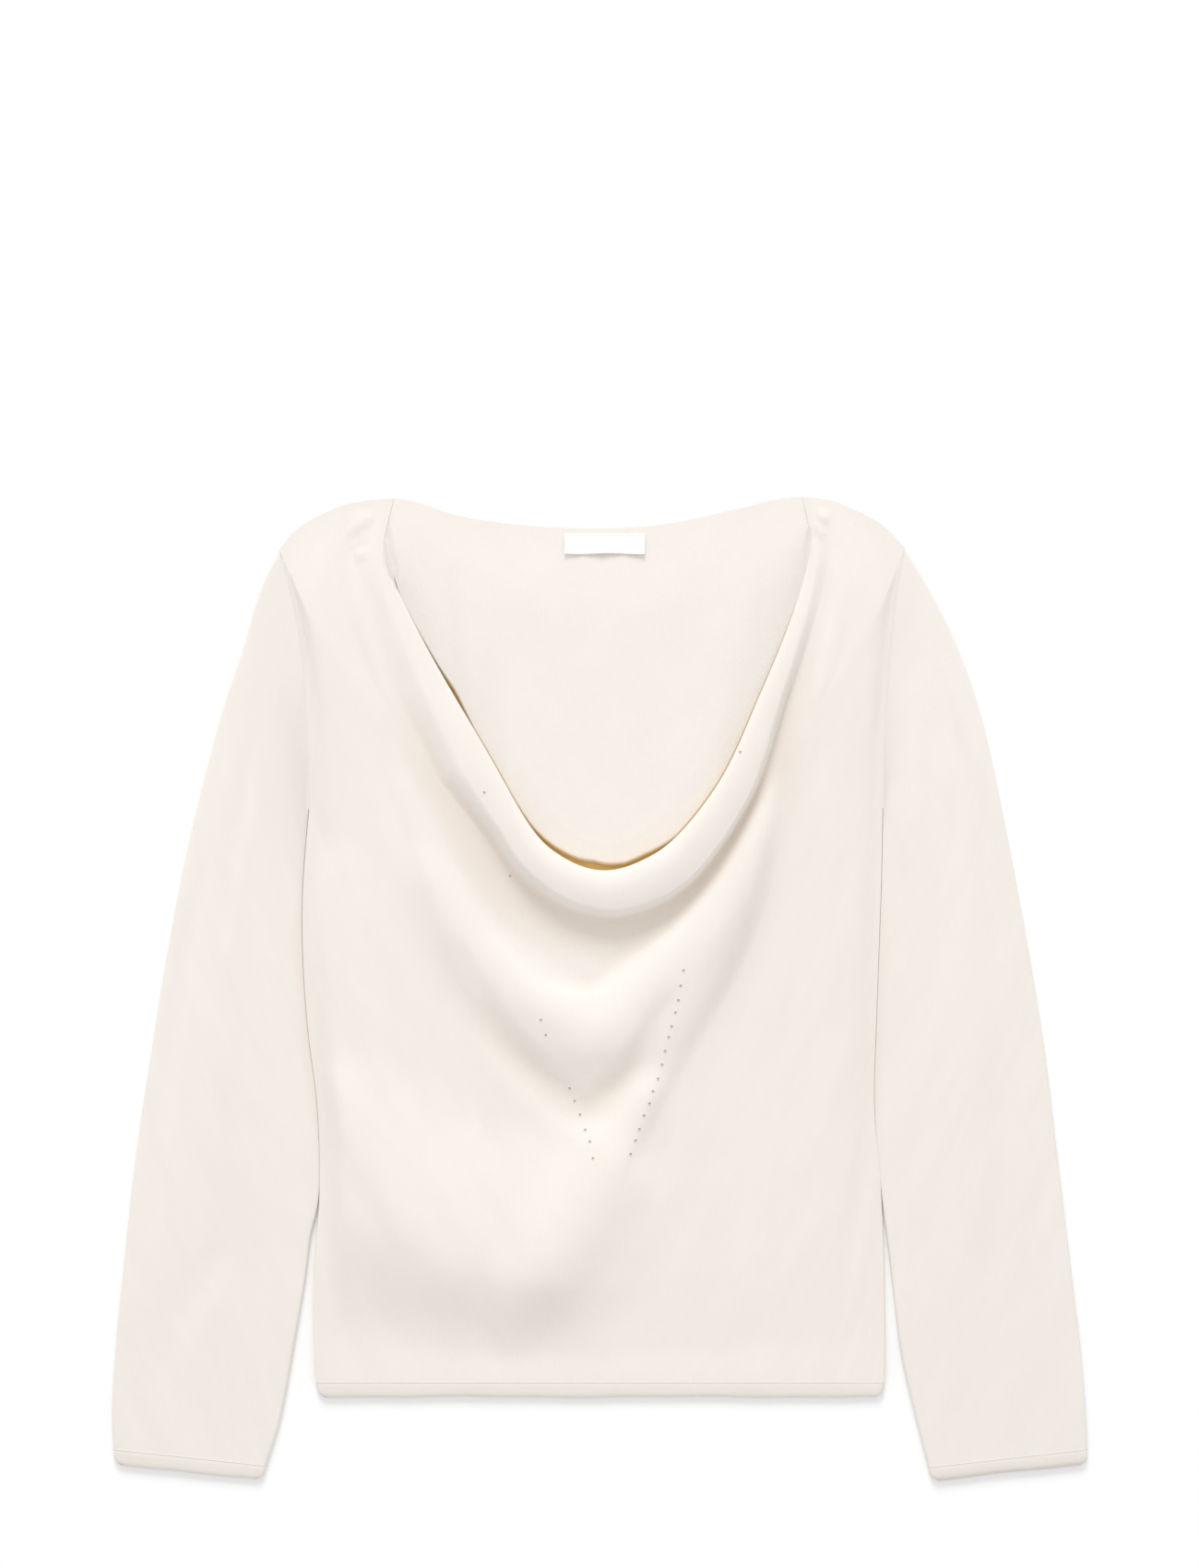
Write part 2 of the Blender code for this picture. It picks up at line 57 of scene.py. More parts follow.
# %% Measures of the cloth
MM = 0.001
WALL = 1.0  # thickness of the jersey here
LAYER_GAP = 0.3  # between two layers that lie on each other
SOLID_WALL = 1.2  # thickness of the same wall in the solid model
BACK_TOP = SOLID_WALL
FRONT_LEVEL = BACK_TOP + LAYER_GAP + SOLID_WALL
ROLL_MIN = 1.35  # tightest bend of an outer skin
SEAM_GAP = 0.12  # between two pieces where they are linked together
TUBE_EDGE = 3.8  # height of a flattened sleeve or band at its folds
BAND_HEIGHT = 10.5
SIDES = ("left", "right")
print("the front lies", FRONT_LEVEL, "mm above the surface")

# %% [markdown]
# ## Lines that can be read anywhere
# The outline of a garment and the crest of a fold are both lines through a few points. A smooth line
# through few points keeps the drawing short, and reading it by its share of length makes it easy to
# lay rows of cloth along it. The other way would be to draw each line as a curve object, but then
# every point of the cloth would have to ask Blender for it, which is slow.

# %% A smooth line and its helpers
def smooth_line(points, steps=10):
    """A Catmull-Rom curve through the points: its dense points and the share of its length at each."""
    p = np.array([points[0], *points, points[-1]], float)
    t = np.linspace(0, 1, steps, endpoint=False)[:, None]
    runs = []
    for a, b, c, d in zip(p, p[1:], p[2:], p[3:]):
        square, cube = 2 * a - 5 * b + 4 * c - d, 3 * b - a - 3 * c + d
        runs.append(0.5 * (2 * b + (c - a) * t + square * t**2 + cube * t**3))
    dense = np.vstack([*runs, p[-1:]])
    reached = np.concatenate([[0.0], np.cumsum(np.hypot(*np.diff(dense, axis=0).T))])
    return dense, reached / reached[-1]


def along(line, share):
    """The place on a line at a share of its length."""
    dense, shares = line
    share = np.clip(share, 0.0, 1.0)
    return np.stack([np.interp(share, shares, dense[:, 0]), np.interp(share, shares, dense[:, 1])], axis=-1)


def soft_step(low, high, x):
    """0 below low, 1 above high, and a smooth rise between."""
    t = np.clip((x - low) / (high - low), 0.0, 1.0)
    return t * t * (3 - 2 * t)


def near(line, place):
    """For each place: the distance to the line, the share there, the side and the nearest point."""
    dense, shares = line
    a, run = dense[:-1], np.diff(dense, axis=0)
    square = (run**2).sum(axis=1)
    flat = place.reshape(-1, 2)
    far, share = np.empty(len(flat)), np.empty(len(flat))
    side, foot = np.empty(len(flat)), np.empty((len(flat), 2))
    for start in range(0, len(flat), 8000):
        part = flat[start:start + 8000]
        off = part[:, None, :] - a[None, :, :]
        t = np.clip((off * run).sum(axis=2) / square, 0.0, 1.0)
        gap = off - t[:, :, None] * run
        distance = np.hypot(gap[:, :, 0], gap[:, :, 1])
        best = distance.argmin(axis=1)
        row = np.arange(len(part))
        stop = slice(start, start + len(part))
        far[stop] = distance[row, best]
        share[stop] = shares[best] + t[row, best] * np.diff(shares)[best]
        side[stop] = run[best, 0] * off[row, best, 1] - run[best, 1] * off[row, best, 0]
        foot[stop] = a[best] + t[row, best][:, None] * run[best]
    shape = place.shape[:-1]
    return far.reshape(shape), share.reshape(shape), side.reshape(shape), foot.reshape(*shape, 2)


print("a line through 4 points has", len(smooth_line([(0, 0), (1, 0), (2, 1), (3, 1)])[0]), "dense points")

# %% [markdown]
# ## The outline
# The body is a boat shape: a deep front neck edge, short shoulders, armholes, and sides that nip in
# at the waist. The points are written from the neck down, once for the left of the picture and once
# for the right, because a laid garment is never quite even.

# %% Outline of the body
NECK = {"left": (-138.0, 330.0), "right": (136.0, 331.0)}
SHOULDER = {"left": (-215.0, 296.0), "right": (205.0, 297.0)}
UNDERARM = {"left": (-195.0, 120.0), "right": (190.0, 120.0)}
HEM = {"left": (-190.0, -263.0), "right": (191.0, -263.0)}
SHOULDER_BETWEEN = {
    "left": ((-168, 327), (-192, 317), (-205, 308)),
    "right": ((155, 329), (179, 319), (193, 310)),
}
ARMHOLE_BETWEEN = {
    "left": ((-208, 269), (-201, 232), (-197, 180)),
    "right": ((200, 269), (196, 232), (192, 180)),
}
SIDE_BETWEEN = {
    "left": ((-199, 70), (-199, 21), (-195.5, -29), (-189.5, -78), (-188, -134), (-192, -202)),
    "right": ((189, 70), (186, -16), (184.5, -78), (189, -134), (191, -202)),
}
BACK_NECK_BETWEEN = ((-118, 326), (-93, 318), (-50, 312), (0, 310), (45, 313), (93, 323), (117, 329))
FRONT_NECK_BETWEEN = (
    (-144, 292), (-131, 260), (-109, 218), (-75, 160), (-46, 110), (-25, 90),
    (0, 81), (25, 86), (52, 104), (83, 145), (108, 200), (124, 238), (135, 270), (141, 300),
)

NECK_EDGE = smooth_line((NECK["left"], *FRONT_NECK_BETWEEN, NECK["right"]))
SHOULDER_EDGE = {s: smooth_line((NECK[s], *SHOULDER_BETWEEN[s], SHOULDER[s])) for s in SIDES}
ARMHOLE_EDGE = {s: smooth_line((SHOULDER[s], *ARMHOLE_BETWEEN[s], UNDERARM[s])) for s in SIDES}
SIDE_EDGE = {s: smooth_line((UNDERARM[s], *SIDE_BETWEEN[s], HEM[s])) for s in SIDES}
BACK_TOP_EDGE = smooth_line((
    SHOULDER["left"], *reversed(SHOULDER_BETWEEN["left"]), NECK["left"], *BACK_NECK_BETWEEN,
    NECK["right"], *SHOULDER_BETWEEN["right"], SHOULDER["right"],
))
print("neck edge, mm:", round(float(np.hypot(*np.diff(NECK_EDGE[0], axis=0).T).sum())))

# %% [markdown]
# ## Folds as a table
# Each fold is one row: how far it reaches to the left and to the right of its line, how much it rises
# at its ends and in its middle, and the route of its crest. A trough has a rise below zero. Two
# different reaches give a fold a steep side and a gentle one, which is how cloth really hangs. Cloth
# simulation could make folds too, but not these folds, and here each has its place.

# %% The folds of the front
# name, reach left of its run, reach right of its run, rise at the ends, rise in the middle, route
FRONT_FOLDS = (
    ("swag under the lip", 40, 40, 0.4, 9.0,
     ((-124, 112), (-112, 74), (-91, 36), (-64, 3), (-34, -21), (-6, -31), (21, -21),
      (46, 8), (70, 40), (92, 76), (108, 112), (118, 146))),
    ("brow of the swag and wall of the right cleft", 15, 32, 0.6, 2.4,
     ((-76, 48), (-62, 20), (-42, 0), (-16, -7), (4, -4), (22, 8), (43, 25), (68, 50), (92, 84),
      (109, 120), (121, 156))),
    ("hollow of the V", 18, 22, -0.6, -3.0,
     ((-99, 45), (-85, 5), (-62, -34), (-36, -62), (-8, -80), (16, -60), (36, -26), (55, 8))),
    ("edge of the V", 16, 28, 0.4, 4.4,
     ((119, 156), (113, 124), (105, 86), (95, 52), (81, 19), (65, -11), (48, -42), (35, -69),
      (23, -99), (8, -130))),
    ("lower edge of the V", 40, 46, 2.2, 4.6,
     ((40, -50), (22, -92), (4, -124), (-16, -154), (-36, -188), (-56, -220), (-72, -252))),
    ("left drag", 26, 14, 0.3, 1.8, ((-138, 150), (-124, 110), (-110, 72), (-94, 20), (-74, -20))),
    ("belly, left edge", 70, 24, 0.3, 4.0,
     ((-180, 110), (-182, 50), (-178, -10), (-171, -60), (-158, -106), (-140, -146), (-118, -186))),
    ("belly, lower edge", 120, 92, 0.4, 12.0,
     ((-200, -40), (-180, -100), (-152, -148), (-118, -174), (-80, -182), (-40, -174), (0, -144), (36, -96))),
    ("hollow by the hem", 34, 26, -0.4, -1.4, ((-180, -220), (-142, -230), (-102, -236), (-56, -242))),
    ("right lower crease", 10, 16, -0.5, -2.6, ((182, -80), (178, -130), (170, -180), (159, -228))),
    ("right side pull", 30, 26, 0.2, 1.0, ((150, 150), (158, 60), (160, -30), (152, -130))),
    ("left shoulder line", 9, 10, 0.2, 1.5, ((-166, 292), (-161, 258), (-150, 222), (-136, 186))),
    ("right shoulder line", 10, 9, 0.2, 1.3, ((154, 298), (160, 264), (155, 228), (143, 188))),
)
REACH_AT_END = 0.35  # the reach at a fold's ends, as a share of its reach in the middle
RUN_OUT = 0.1  # the share of a fold's length in which it runs out at each end
ROUNDNESS = 0.8  # below 1 a swell is blunter than a sine
# The short gathers by the shoulder seams, where the jersey was pulled in as it was sewn:
# side, centre, length, angle in degrees, number and step between them
GATHERS = (
    ("left", (-161, 318), 24, 8, 7, 4.3),
    ("right", (149, 320), 16, -20, 4, 5.0),
)
GATHER_RISE = 1.3
GATHER_REACH = 2.1
print(len(FRONT_FOLDS), "long folds on the front and", sum(g[4] for g in GATHERS), "short gathers")

# %% [markdown]
# A fold's height at a place is its rise times a rounded bump across its reach. All places are worked
# out at once as arrays, so that even a fine sheet takes seconds.

# %% Height of the folds at many places
def fold_rise(folds, place):
    """What the folds of a table add at each place."""
    total = np.zeros(place.shape[:-1])
    for _, reach_left, reach_right, end_rise, middle_rise, route in folds:
        far, share, side, _ = near(smooth_line(route), place)
        middle = np.sin(np.pi * share) ** ROUNDNESS
        reach = np.where(side > 0, reach_left, reach_right) * (REACH_AT_END + (1 - REACH_AT_END) * middle)
        run_out = soft_step(0.0, RUN_OUT, share) * soft_step(0.0, RUN_OUT, 1 - share)
        rise = (end_rise + (middle_rise - end_rise) * middle) * run_out
        total += rise * np.cos(0.5 * np.pi * np.clip(far / reach, 0, 1)) ** 2
    return total


def gather_rows():
    """The short gathers as rows of the fold table."""
    rows = []
    for side, centre, length, angle, count, step in GATHERS:
        turn = math.radians(angle)
        for i in range(count):
            x = centre[0] + 2.0 * math.sin(2.4 * i)
            y = centre[1] - step * i
            half = 0.5 * length * (1 - 0.07 * i) * (0.85 + 0.15 * math.cos(3.1 * i))
            dx, dy = half * math.cos(turn), half * math.sin(turn)
            route = ((x - dx, y - dy), (x, y + 0.8 * math.sin(1.7 * i)), (x + dx, y + dy))
            rows.append(("gather", GATHER_REACH, GATHER_REACH, 0.2, GATHER_RISE, route))
    return rows


print("tallest gather, mm:", round(float(fold_rise(gather_rows(), np.array([[-161.0, 318.0]]))[0]), 2))

# %% [markdown]
# ## The rolled lip
# The neck edge turns under by itself, as a wide soft roll, and hangs lower in the middle. The table
# gives its width, its rise, how far its turned-in facing is lifted, and how far its brow leans out
# over the pocket below.

# %% The lip's table
# share of the edge from the left, width, rise, lift of the facing, lean of the brow,
# and where the lip starts to come down, as a share of its width
LIP_ROWS = np.array((
    (0.00, 14.0, 0.6, 0.3, 0.0, 0.30),
    (0.05, 17.0, 1.2, 0.4, 0.0, 0.30),
    (0.10, 22.0, 2.4, 0.6, 0.0, 0.35),
    (0.20, 34.0, 5.2, 1.8, 0.5, 0.40),
    (0.31, 38.0, 10.5, 1.2, 2.0, 0.50),
    (0.39, 29.0, 14.0, 1.5, 2.0, 0.54),
    (0.45, 30.0, 16.0, 2.4, 3.0, 0.62),
    (0.51, 34.0, 17.0, 3.2, 3.5, 0.68),
    (0.55, 33.0, 17.0, 2.4, 4.0, 0.70),
    (0.60, 28.0, 15.5, 1.6, 4.0, 0.72),
    (0.68, 23.0, 12.8, 1.0, 4.0, 0.72),
    (0.78, 17.0, 9.0, 0.8, 2.5, 0.64),
    (0.90, 15.0, 3.2, 0.6, 0.5, 0.45),
    (0.95, 14.0, 1.4, 0.4, 0.0, 0.35),
    (1.00, 14.0, 0.6, 0.3, 0.0, 0.30),
))
ROLL_REACH = 3.6
FACING_SHARE = 0.62
LIP_BROW = 0.84  # the lip's height at the neck edge, as a share of its full rise
LIP_END = 0.98  # where the lip has come down, as a share of its width


def lip(column, share):
    """A column of the lip's table, read between its rows."""
    return np.interp(share, LIP_ROWS[:, 0], LIP_ROWS[:, column])


print("the lip is", lip(1, 0.5), "mm wide and", lip(2, 0.5), "mm high in the middle")

# %% [markdown]
# ## The front as a stretched net
# A net of rows runs from the neck edge to the hem, and its columns from the left border to the
# right. The border pulls the net to the shoulder, the armhole and the side. The height of the net is
# the lip, plus a little fullness, plus the folds.

# %% Places on the front
W_SHOULDER = 0.30  # the row that ends at the shoulder corners
W_UNDERARM = 0.55  # the row that ends at the underarm corners
CENTRE_CROWDING = 0.15
SIDE_HOLD = (6.0, 2.2)
FRONT_SWELL = 2.6
CHEST_SWELL = ((-10.0, -50.0), 110.0, 1.8)  # centre, radius and rise
BORDER_SHARE = 0.06
ARMHOLE_FROM = (0.22, 0.32)  # the rows in which the border comes up level with the sleeve
ARMHOLE_TO = (0.78, 0.50)  # and those in which it sinks again below the underarm
BORDER_LIFT = 0.7  # how much of that step it takes
HEM_FROM = (0.93, 1.0)  # the rows in which it comes up level with the hem band
HEM_SHARE = 0.15
SMALL_SHARE = 0.01  # half the stretch over which the way of a line is read
TURN_SHARE = 0.08  # the share of the neck edge at each end in which rows turn along the shoulder


def edge_of_front(side, w):
    """The border from the neck corner over the shoulder and the armhole to the hem."""
    shoulder = along(SHOULDER_EDGE[side], w / W_SHOULDER)
    armhole = along(ARMHOLE_EDGE[side], (w - W_SHOULDER) / (W_UNDERARM - W_SHOULDER))
    flank = along(SIDE_EDGE[side], (w - W_UNDERARM) / (1 - W_UNDERARM))
    w = w[..., None]
    return np.where(w <= W_SHOULDER, shoulder, np.where(w <= W_UNDERARM, armhole, flank))


def neck_share(u):
    """The share of the neck edge for a column, with the columns closer in the middle."""
    return u + CENTRE_CROWDING * np.sin(2 * np.pi * u) / (2 * np.pi)


def front_place(u, w):
    """u runs from the left border to the right, w from the neck edge to the hem."""
    neck = along(NECK_EDGE, neck_share(u))
    left, right = np.array(HEM["left"]), np.array(HEM["right"])
    hem = left + (right - left) * u[..., None]
    place = neck + (hem - neck) * w[..., None]
    for side, close in (("left", 1 - u), ("right", u)):
        corner, foot = np.array(NECK[side]), np.array(HEM[side])
        free = corner + (foot - corner) * w[..., None]
        pull = edge_of_front(side, w) - free
        place[..., 0] += close ** SIDE_HOLD[0] * pull[..., 0]
        place[..., 1] += close ** SIDE_HOLD[1] * pull[..., 1]
    return place


def away_from_neck(u):
    """The way from the neck edge into the front, turned along the shoulders at both ends."""
    share = neck_share(u)
    run = along(NECK_EDGE, share + SMALL_SHARE) - along(NECK_EDGE, share - SMALL_SHARE)
    way = np.stack([run[..., 1], -run[..., 0]], axis=-1)
    way /= np.linalg.norm(way, axis=-1, keepdims=True)
    for side, from_end in (("left", u), ("right", 1 - u)):
        hold = soft_step(TURN_SHARE, 0.0, from_end)
        out = along(SHOULDER_EDGE[side], 0.25) - np.array(NECK[side])
        out /= np.linalg.norm(out)
        way += hold[..., None] * (out - way)
    return way / np.linalg.norm(way, axis=-1, keepdims=True)


middle = front_place(np.array([0.5]), np.array([0.5]))[0]
print("the middle of the front lies at", [round(float(c), 1) for c in middle], "mm")

# %% Height of the front
# Distances from the neck edge, as shares of the lip's width
BROW_END = 0.7  # where the lip's brow ends
FOLDS_FROM = (0.75, 1.5)  # where the folds come in
SWELL_FROM = (1.0, 2.6)  # where the front's fullness comes in
LEAN_FROM = (0.30, 0.72)  # where the brow starts to lean
LEAN_TO = (1.25, 0.80)  # and where it has ended
SWELL_AT_LIP = 0.35  # the share of its fullness that the front has at the lip
GATHERS_FROM_BORDER = 0.008
REST_GAP = 0.05  # between the front at rest and its level


def front_height(u, w, place):
    """The outer skin of the front above the surface, and the lean of the lip's brow."""
    border = soft_step(0.0, BORDER_SHARE, np.minimum(u, 1 - u)) * soft_step(0.0, HEM_SHARE, 1 - w)
    far, share, _, foot = near(NECK_EDGE, place)
    t = far / lip(1, share)
    brow = LIP_BROW + (1 - LIP_BROW) * np.sin(np.minimum(t / BROW_END, 1.0) * np.pi)
    rolled = lip(2, share) * brow * soft_step(LIP_END, lip(5, share), t)
    (cx, cy), radius, rise = CHEST_SWELL
    chest = rise * soft_step(radius, 0.0, np.hypot(place[..., 0] - cx, place[..., 1] - cy))
    folds = fold_rise(FRONT_FOLDS, place) * soft_step(*FOLDS_FROM, t)
    swell = FRONT_SWELL * (SWELL_AT_LIP + (1 - SWELL_AT_LIP) * soft_step(*SWELL_FROM, t)) + chest
    crinkle = fold_rise(gather_rows(), place) * soft_step(0.0, GATHERS_FROM_BORDER, np.minimum(u, 1 - u))
    by_sleeve = BORDER_LIFT * soft_step(*ARMHOLE_FROM, w) * soft_step(*ARMHOLE_TO, w)
    level = np.maximum(by_sleeve, soft_step(*HEM_FROM, w))
    raised = np.maximum(border * (swell + folds), level * (TUBE_EDGE - FRONT_LEVEL) * (1 - border))
    height = FRONT_LEVEL + REST_GAP + rolled + raised + crinkle
    lean = lip(4, share) * soft_step(*LEAN_FROM, t) * soft_step(*LEAN_TO, t)
    way = (place - foot) / np.maximum(far, 1e-6)[..., None]
    return height, way * lean[..., None]


test = front_place(np.array([0.5]), np.array([0.3]))
print("its height there, mm:", round(float(front_height(np.array([0.5]), np.array([0.3]), test)[0][0]), 1))

# %% [markdown]
# Daylight that goes deep into a fold comes back warmer and darker, and that shade is painted here. The
# bottoms of the folds are found by how far each point lies below its neighbourhood, and the finish paints
# that mark as shade.

# %% Shade at the bottom of the folds
FOLD_CELL = 2.5  # the cells in which the neighbourhood of a place is averaged
FOLD_REACH = 9  # cells to each side
FOLD_DEPTH = (0.6, 7.0)  # how far a place lies below its neighbourhood: where the painted shade starts and is full
MARK_FROM_BORDER = (0.03, 0.12)  # the shares of the width in which that painted shade fades in from the border


def fold_shade(net):
    """How deep each point of a net lies below its neighbourhood, from 0 to 1, as the mask of painted shade.
    """
    cell = ((net[..., :2] - net[..., :2].min(axis=(0, 1))) / FOLD_CELL).astype(int)
    size = cell.max(axis=(0, 1)) + 1
    index = (cell[..., 0] * size[1] + cell[..., 1]).ravel()
    layers = [np.bincount(index, net[..., 2].ravel(), size.prod()), np.bincount(index, minlength=size.prod())]
    blurred = []
    for layer in layers:
        layer = layer.reshape(size).astype(float)
        for axis in (0, 1):
            for _ in range(2):
                layer = sum(np.roll(layer, shift, axis=axis) for shift in range(-FOLD_REACH, FOLD_REACH + 1))
        blurred.append(layer.ravel())
    around = blurred[0][index] / np.maximum(blurred[1][index], 1e-9)
    return soft_step(*FOLD_DEPTH, around.reshape(net.shape[:2]) - net[..., 2])


print("a neighbourhood reaches", FOLD_CELL * FOLD_REACH, "mm to each side")

# %% Rows of the front, from the facing's free edge over the roll to the hem
FRONT_COLUMNS = 200
# stretches of the front's rows: from share, to share, number
FRONT_ROWS = ((0.0, 0.14, 58), (0.14, W_SHOULDER, 36), (W_SHOULDER, W_UNDERARM, 48), (W_UNDERARM, 1.0, 44))
ROLL_STEPS = 9
FACING_STEPS = 3
ROLL_MARK = (0.62, 0.30)  # the shares of the roll in which the painted warm shade of its inside fades out
GIVE_SHARE = 0.2  # the rows in which the roll's reach is taken up


def graded(runs):
    """Shares from 0 to 1 in stretches of their own density."""
    return np.concatenate([np.linspace(a, b, n, endpoint=False) for a, b, n in runs] + [[1.0]])


def front_rows():
    """The net of the front, and beside it how deep each point lies inside the roll, from 0 to 1, for painted
    warm shade, and the painted shade at the bottom of its folds.
    """
    u = np.linspace(0, 1, FRONT_COLUMNS + 1)
    share = neck_share(u)
    neck, way = along(NECK_EDGE, share), away_from_neck(u)
    under = BACK_TOP + LAYER_GAP + lip(3, share)
    start = neck + way * ROLL_REACH
    top, _ = front_height(u, np.zeros_like(u), start)
    half = (top - under) / 2
    reach = np.minimum(ROLL_REACH, half * half / ROLL_MIN)
    facing = lip(1, share) * FACING_SHARE
    rows, inside = [], []
    for i in range(FACING_STEPS):
        d = facing + (reach - facing) * i / FACING_STEPS
        rows.append(np.column_stack([neck + way * d[:, None], under]))
        inside.append(1.0)
    for i in range(ROLL_STEPS):
        angle = math.pi * i / ROLL_STEPS
        d = reach * (1 - math.sin(angle))
        rows.append(np.column_stack([neck + way * d[:, None], under + half * (1 - math.cos(angle))]))
        inside.append(float(soft_step(*ROLL_MARK, i / ROLL_STEPS)))
    shares = graded(FRONT_ROWS)
    uu, ww = np.meshgrid(u, shares)
    place = front_place(uu, ww)
    give = reach * (1 - soft_step(0.0, GIVE_SHARE, shares))[:, None]
    place = place + way[None] * give[..., None]
    height, lean = front_height(uu, ww, place)
    height[0] = under + 2 * half
    lean[0] = 0.0
    rows.extend(np.dstack([place + lean, height]))
    inside.extend([0.0] * len(shares))
    net = np.array(rows)
    inside = np.repeat(np.array(inside)[:, None], FRONT_COLUMNS + 1, axis=1)
    turned = FACING_STEPS + ROLL_STEPS
    fold = np.zeros(net.shape[:2])
    fold[turned:] = fold_shade(net[turned:]) * soft_step(*MARK_FROM_BORDER, np.minimum(uu, 1 - uu))
    return net, {"inside": inside, "fold": fold}


front_net, front_marks = front_rows()
print("the front's net has", front_net.shape[0], "rows and", front_net.shape[1], "columns")

# %% [markdown]
# ## From a net to cloth
# A net becomes a mesh of four-sided faces. The knit must follow the cloth and not the room, so each
# point gets its place in the cloth, in metres, as its UV: how far it lies across and down, measured
# on the surface. Solidify gives the wall, inwards from the outer skin, and smooth shading that stops
# at the cut edges keeps the rim crisp.

# %% Cloth from a net of points
def measured(net, closed):
    """For each point of a net: how far it lies across from the middle column, and down from the top."""
    across = np.linalg.norm(np.diff(net, axis=1), axis=2)
    across = np.concatenate([np.zeros((len(net), 1)), np.cumsum(across, axis=1)], axis=1)
    if not closed:
        across -= across[:, across.shape[1] // 2][:, None]
    down = np.linalg.norm(np.diff(net, axis=0), axis=2)
    down = np.concatenate([np.zeros((1, net.shape[1])), np.cumsum(down, axis=0)], axis=0)
    return across * MM, down * MM


CREASE_ANGLE = 50  # degrees between two faces from which an edge stays sharp


def cloth_piece(name, net, marks=None, closed=False, wall=WALL):
    """A wall of cloth from a net in mm. A closed net comes back to its first column."""
    net = np.array(net, float)
    if closed:
        net = np.concatenate([net, net[:, :1]], axis=1)
    across, down = measured(net, closed)
    height, width = net.shape[:2]
    count = width - 1 if closed else width
    faces, corners = [], []
    for j in range(height - 1):
        for i in range(width - 1):
            k = (i + 1) % count if closed else i + 1
            faces.append((j * count + i, (j + 1) * count + i, (j + 1) * count + k, j * count + k))
            corners.extend(((j, i), (j + 1, i), (j + 1, i + 1), (j, i + 1)))
    mesh = bpy.data.meshes.new(name)
    mesh.from_pydata((net[:, :count].reshape(-1, 3) * MM).tolist(), [], faces)
    corners = np.array(corners)
    uv = mesh.uv_layers.new(name="cloth")
    flat = np.stack([across[corners[:, 0], corners[:, 1]], down[corners[:, 0], corners[:, 1]]], axis=-1)
    uv.data.foreach_set("uv", flat.ravel().astype(np.float32))
    for mark_name, values in (marks or {}).items():
        mark = mesh.attributes.new(mark_name, "FLOAT", "POINT")
        mark.data.foreach_set("value", values.ravel().astype(np.float32))
    piece = bpy.data.objects.new(name, mesh)
    bpy.context.scene.collection.objects.link(piece)
    area = sum(face.area for face in mesh.polygons)
    use_only(piece)
    thick = piece.modifiers.new("Wall", "SOLIDIFY")
    thick.thickness = wall * MM
    thick.offset = -1.0
    thick.use_quality_normals = True
    bpy.ops.object.modifier_apply(modifier=thick.name)
    bpy.ops.object.shade_smooth_by_angle(angle=math.radians(CREASE_ANGLE))
    print(name, "has", len(mesh.polygons), "faces and one skin of", round(area, 4), "square metres")
    return piece, area


def use_only(piece):
    """Makes one piece the only selected and the active one."""
    bpy.ops.object.select_all(action="DESELECT")
    piece.select_set(True)
    bpy.context.view_layer.objects.active = piece


front, front_area = cloth_piece("front_of_cloth", front_net, front_marks)

# %% [markdown]
# ## The back
# The back lies flat on the surface. Only its part inside the neck shows, so that part gets a soft
# fullness that dives under the rolled lip. Where it dives a little before the lip, a narrow slit is
# left, and the eye looks into the warm shade inside the garment, which is painted on the cloth there.

# %% Places on the back
# stretches of columns and rows of the back, closer by the slit: from share, to share, number
BACK_COLUMN_RUNS = ((0.0, 0.29, 36), (0.29, 0.71, 150), (0.71, 1.0, 36))
BACK_ROW_RUNS = ((0.0, 0.05, 12), (0.05, 0.31, 54), (0.31, 0.35, 38), (0.35, 0.41, 18), (0.41, 1.0, 38))
SLIT_ROW = 0.34  # the row that is laid along the slit, as a share
SLIT_LEAST = 0.10  # the least share of the height at which it is laid
BACK_ARMHOLE_SHARE = 9 / 22  # the share of its height at which the back reaches the underarm
# share of the neck edge, and how far inside that edge the back starts to rise.
# Below zero it starts under the lip, and no slit shows.
SLIT_ROWS = np.array(((0.0, -5.5), (0.06, -5.0), (0.13, -2.8), (0.20, -1.6), (0.235, -0.2), (0.28, -2.6),
                      (0.37, -2.6), (0.40, -1.9), (0.43, -0.2), (0.47, 1.3), (0.488, 2.9), (0.506, 1.4),
                      (0.525, -0.1), (0.55, 0.1), (0.57, -1.0), (0.59, -2.4), (0.87, -2.8),
                      (0.94, -5.0), (1.0, -5.5)))


def back_place(uu, ww):
    """u runs from the left armhole and side to the right, w from the back's upper edge to the hem."""
    top = along(BACK_TOP_EDGE, uu)
    left, right = np.array(HEM["left"]), np.array(HEM["right"])
    place = top + (left + (right - left) * uu[..., None] - top) * ww[..., None]
    for side, hold in (("left", 1 - uu), ("right", uu)):
        armhole = along(ARMHOLE_EDGE[side], ww / BACK_ARMHOLE_SHARE)
        flank = along(SIDE_EDGE[side], (ww - BACK_ARMHOLE_SHARE) / (1 - BACK_ARMHOLE_SHARE))
        edge = np.where(ww[..., None] <= BACK_ARMHOLE_SHARE, armhole, flank)
        corner, foot = np.array(SHOULDER[side]), np.array(HEM[side])
        place += hold[..., None] * (edge - corner - (foot - corner) * ww[..., None])
    return place


def from_slit(place):
    """How far each place lies inside the neck edge, and how far inside it the back rises there."""
    far, share, side, _ = near(NECK_EDGE, place)
    return np.where(side > 0, far, -far), np.interp(share, SLIT_ROWS[:, 0], SLIT_ROWS[:, 1])


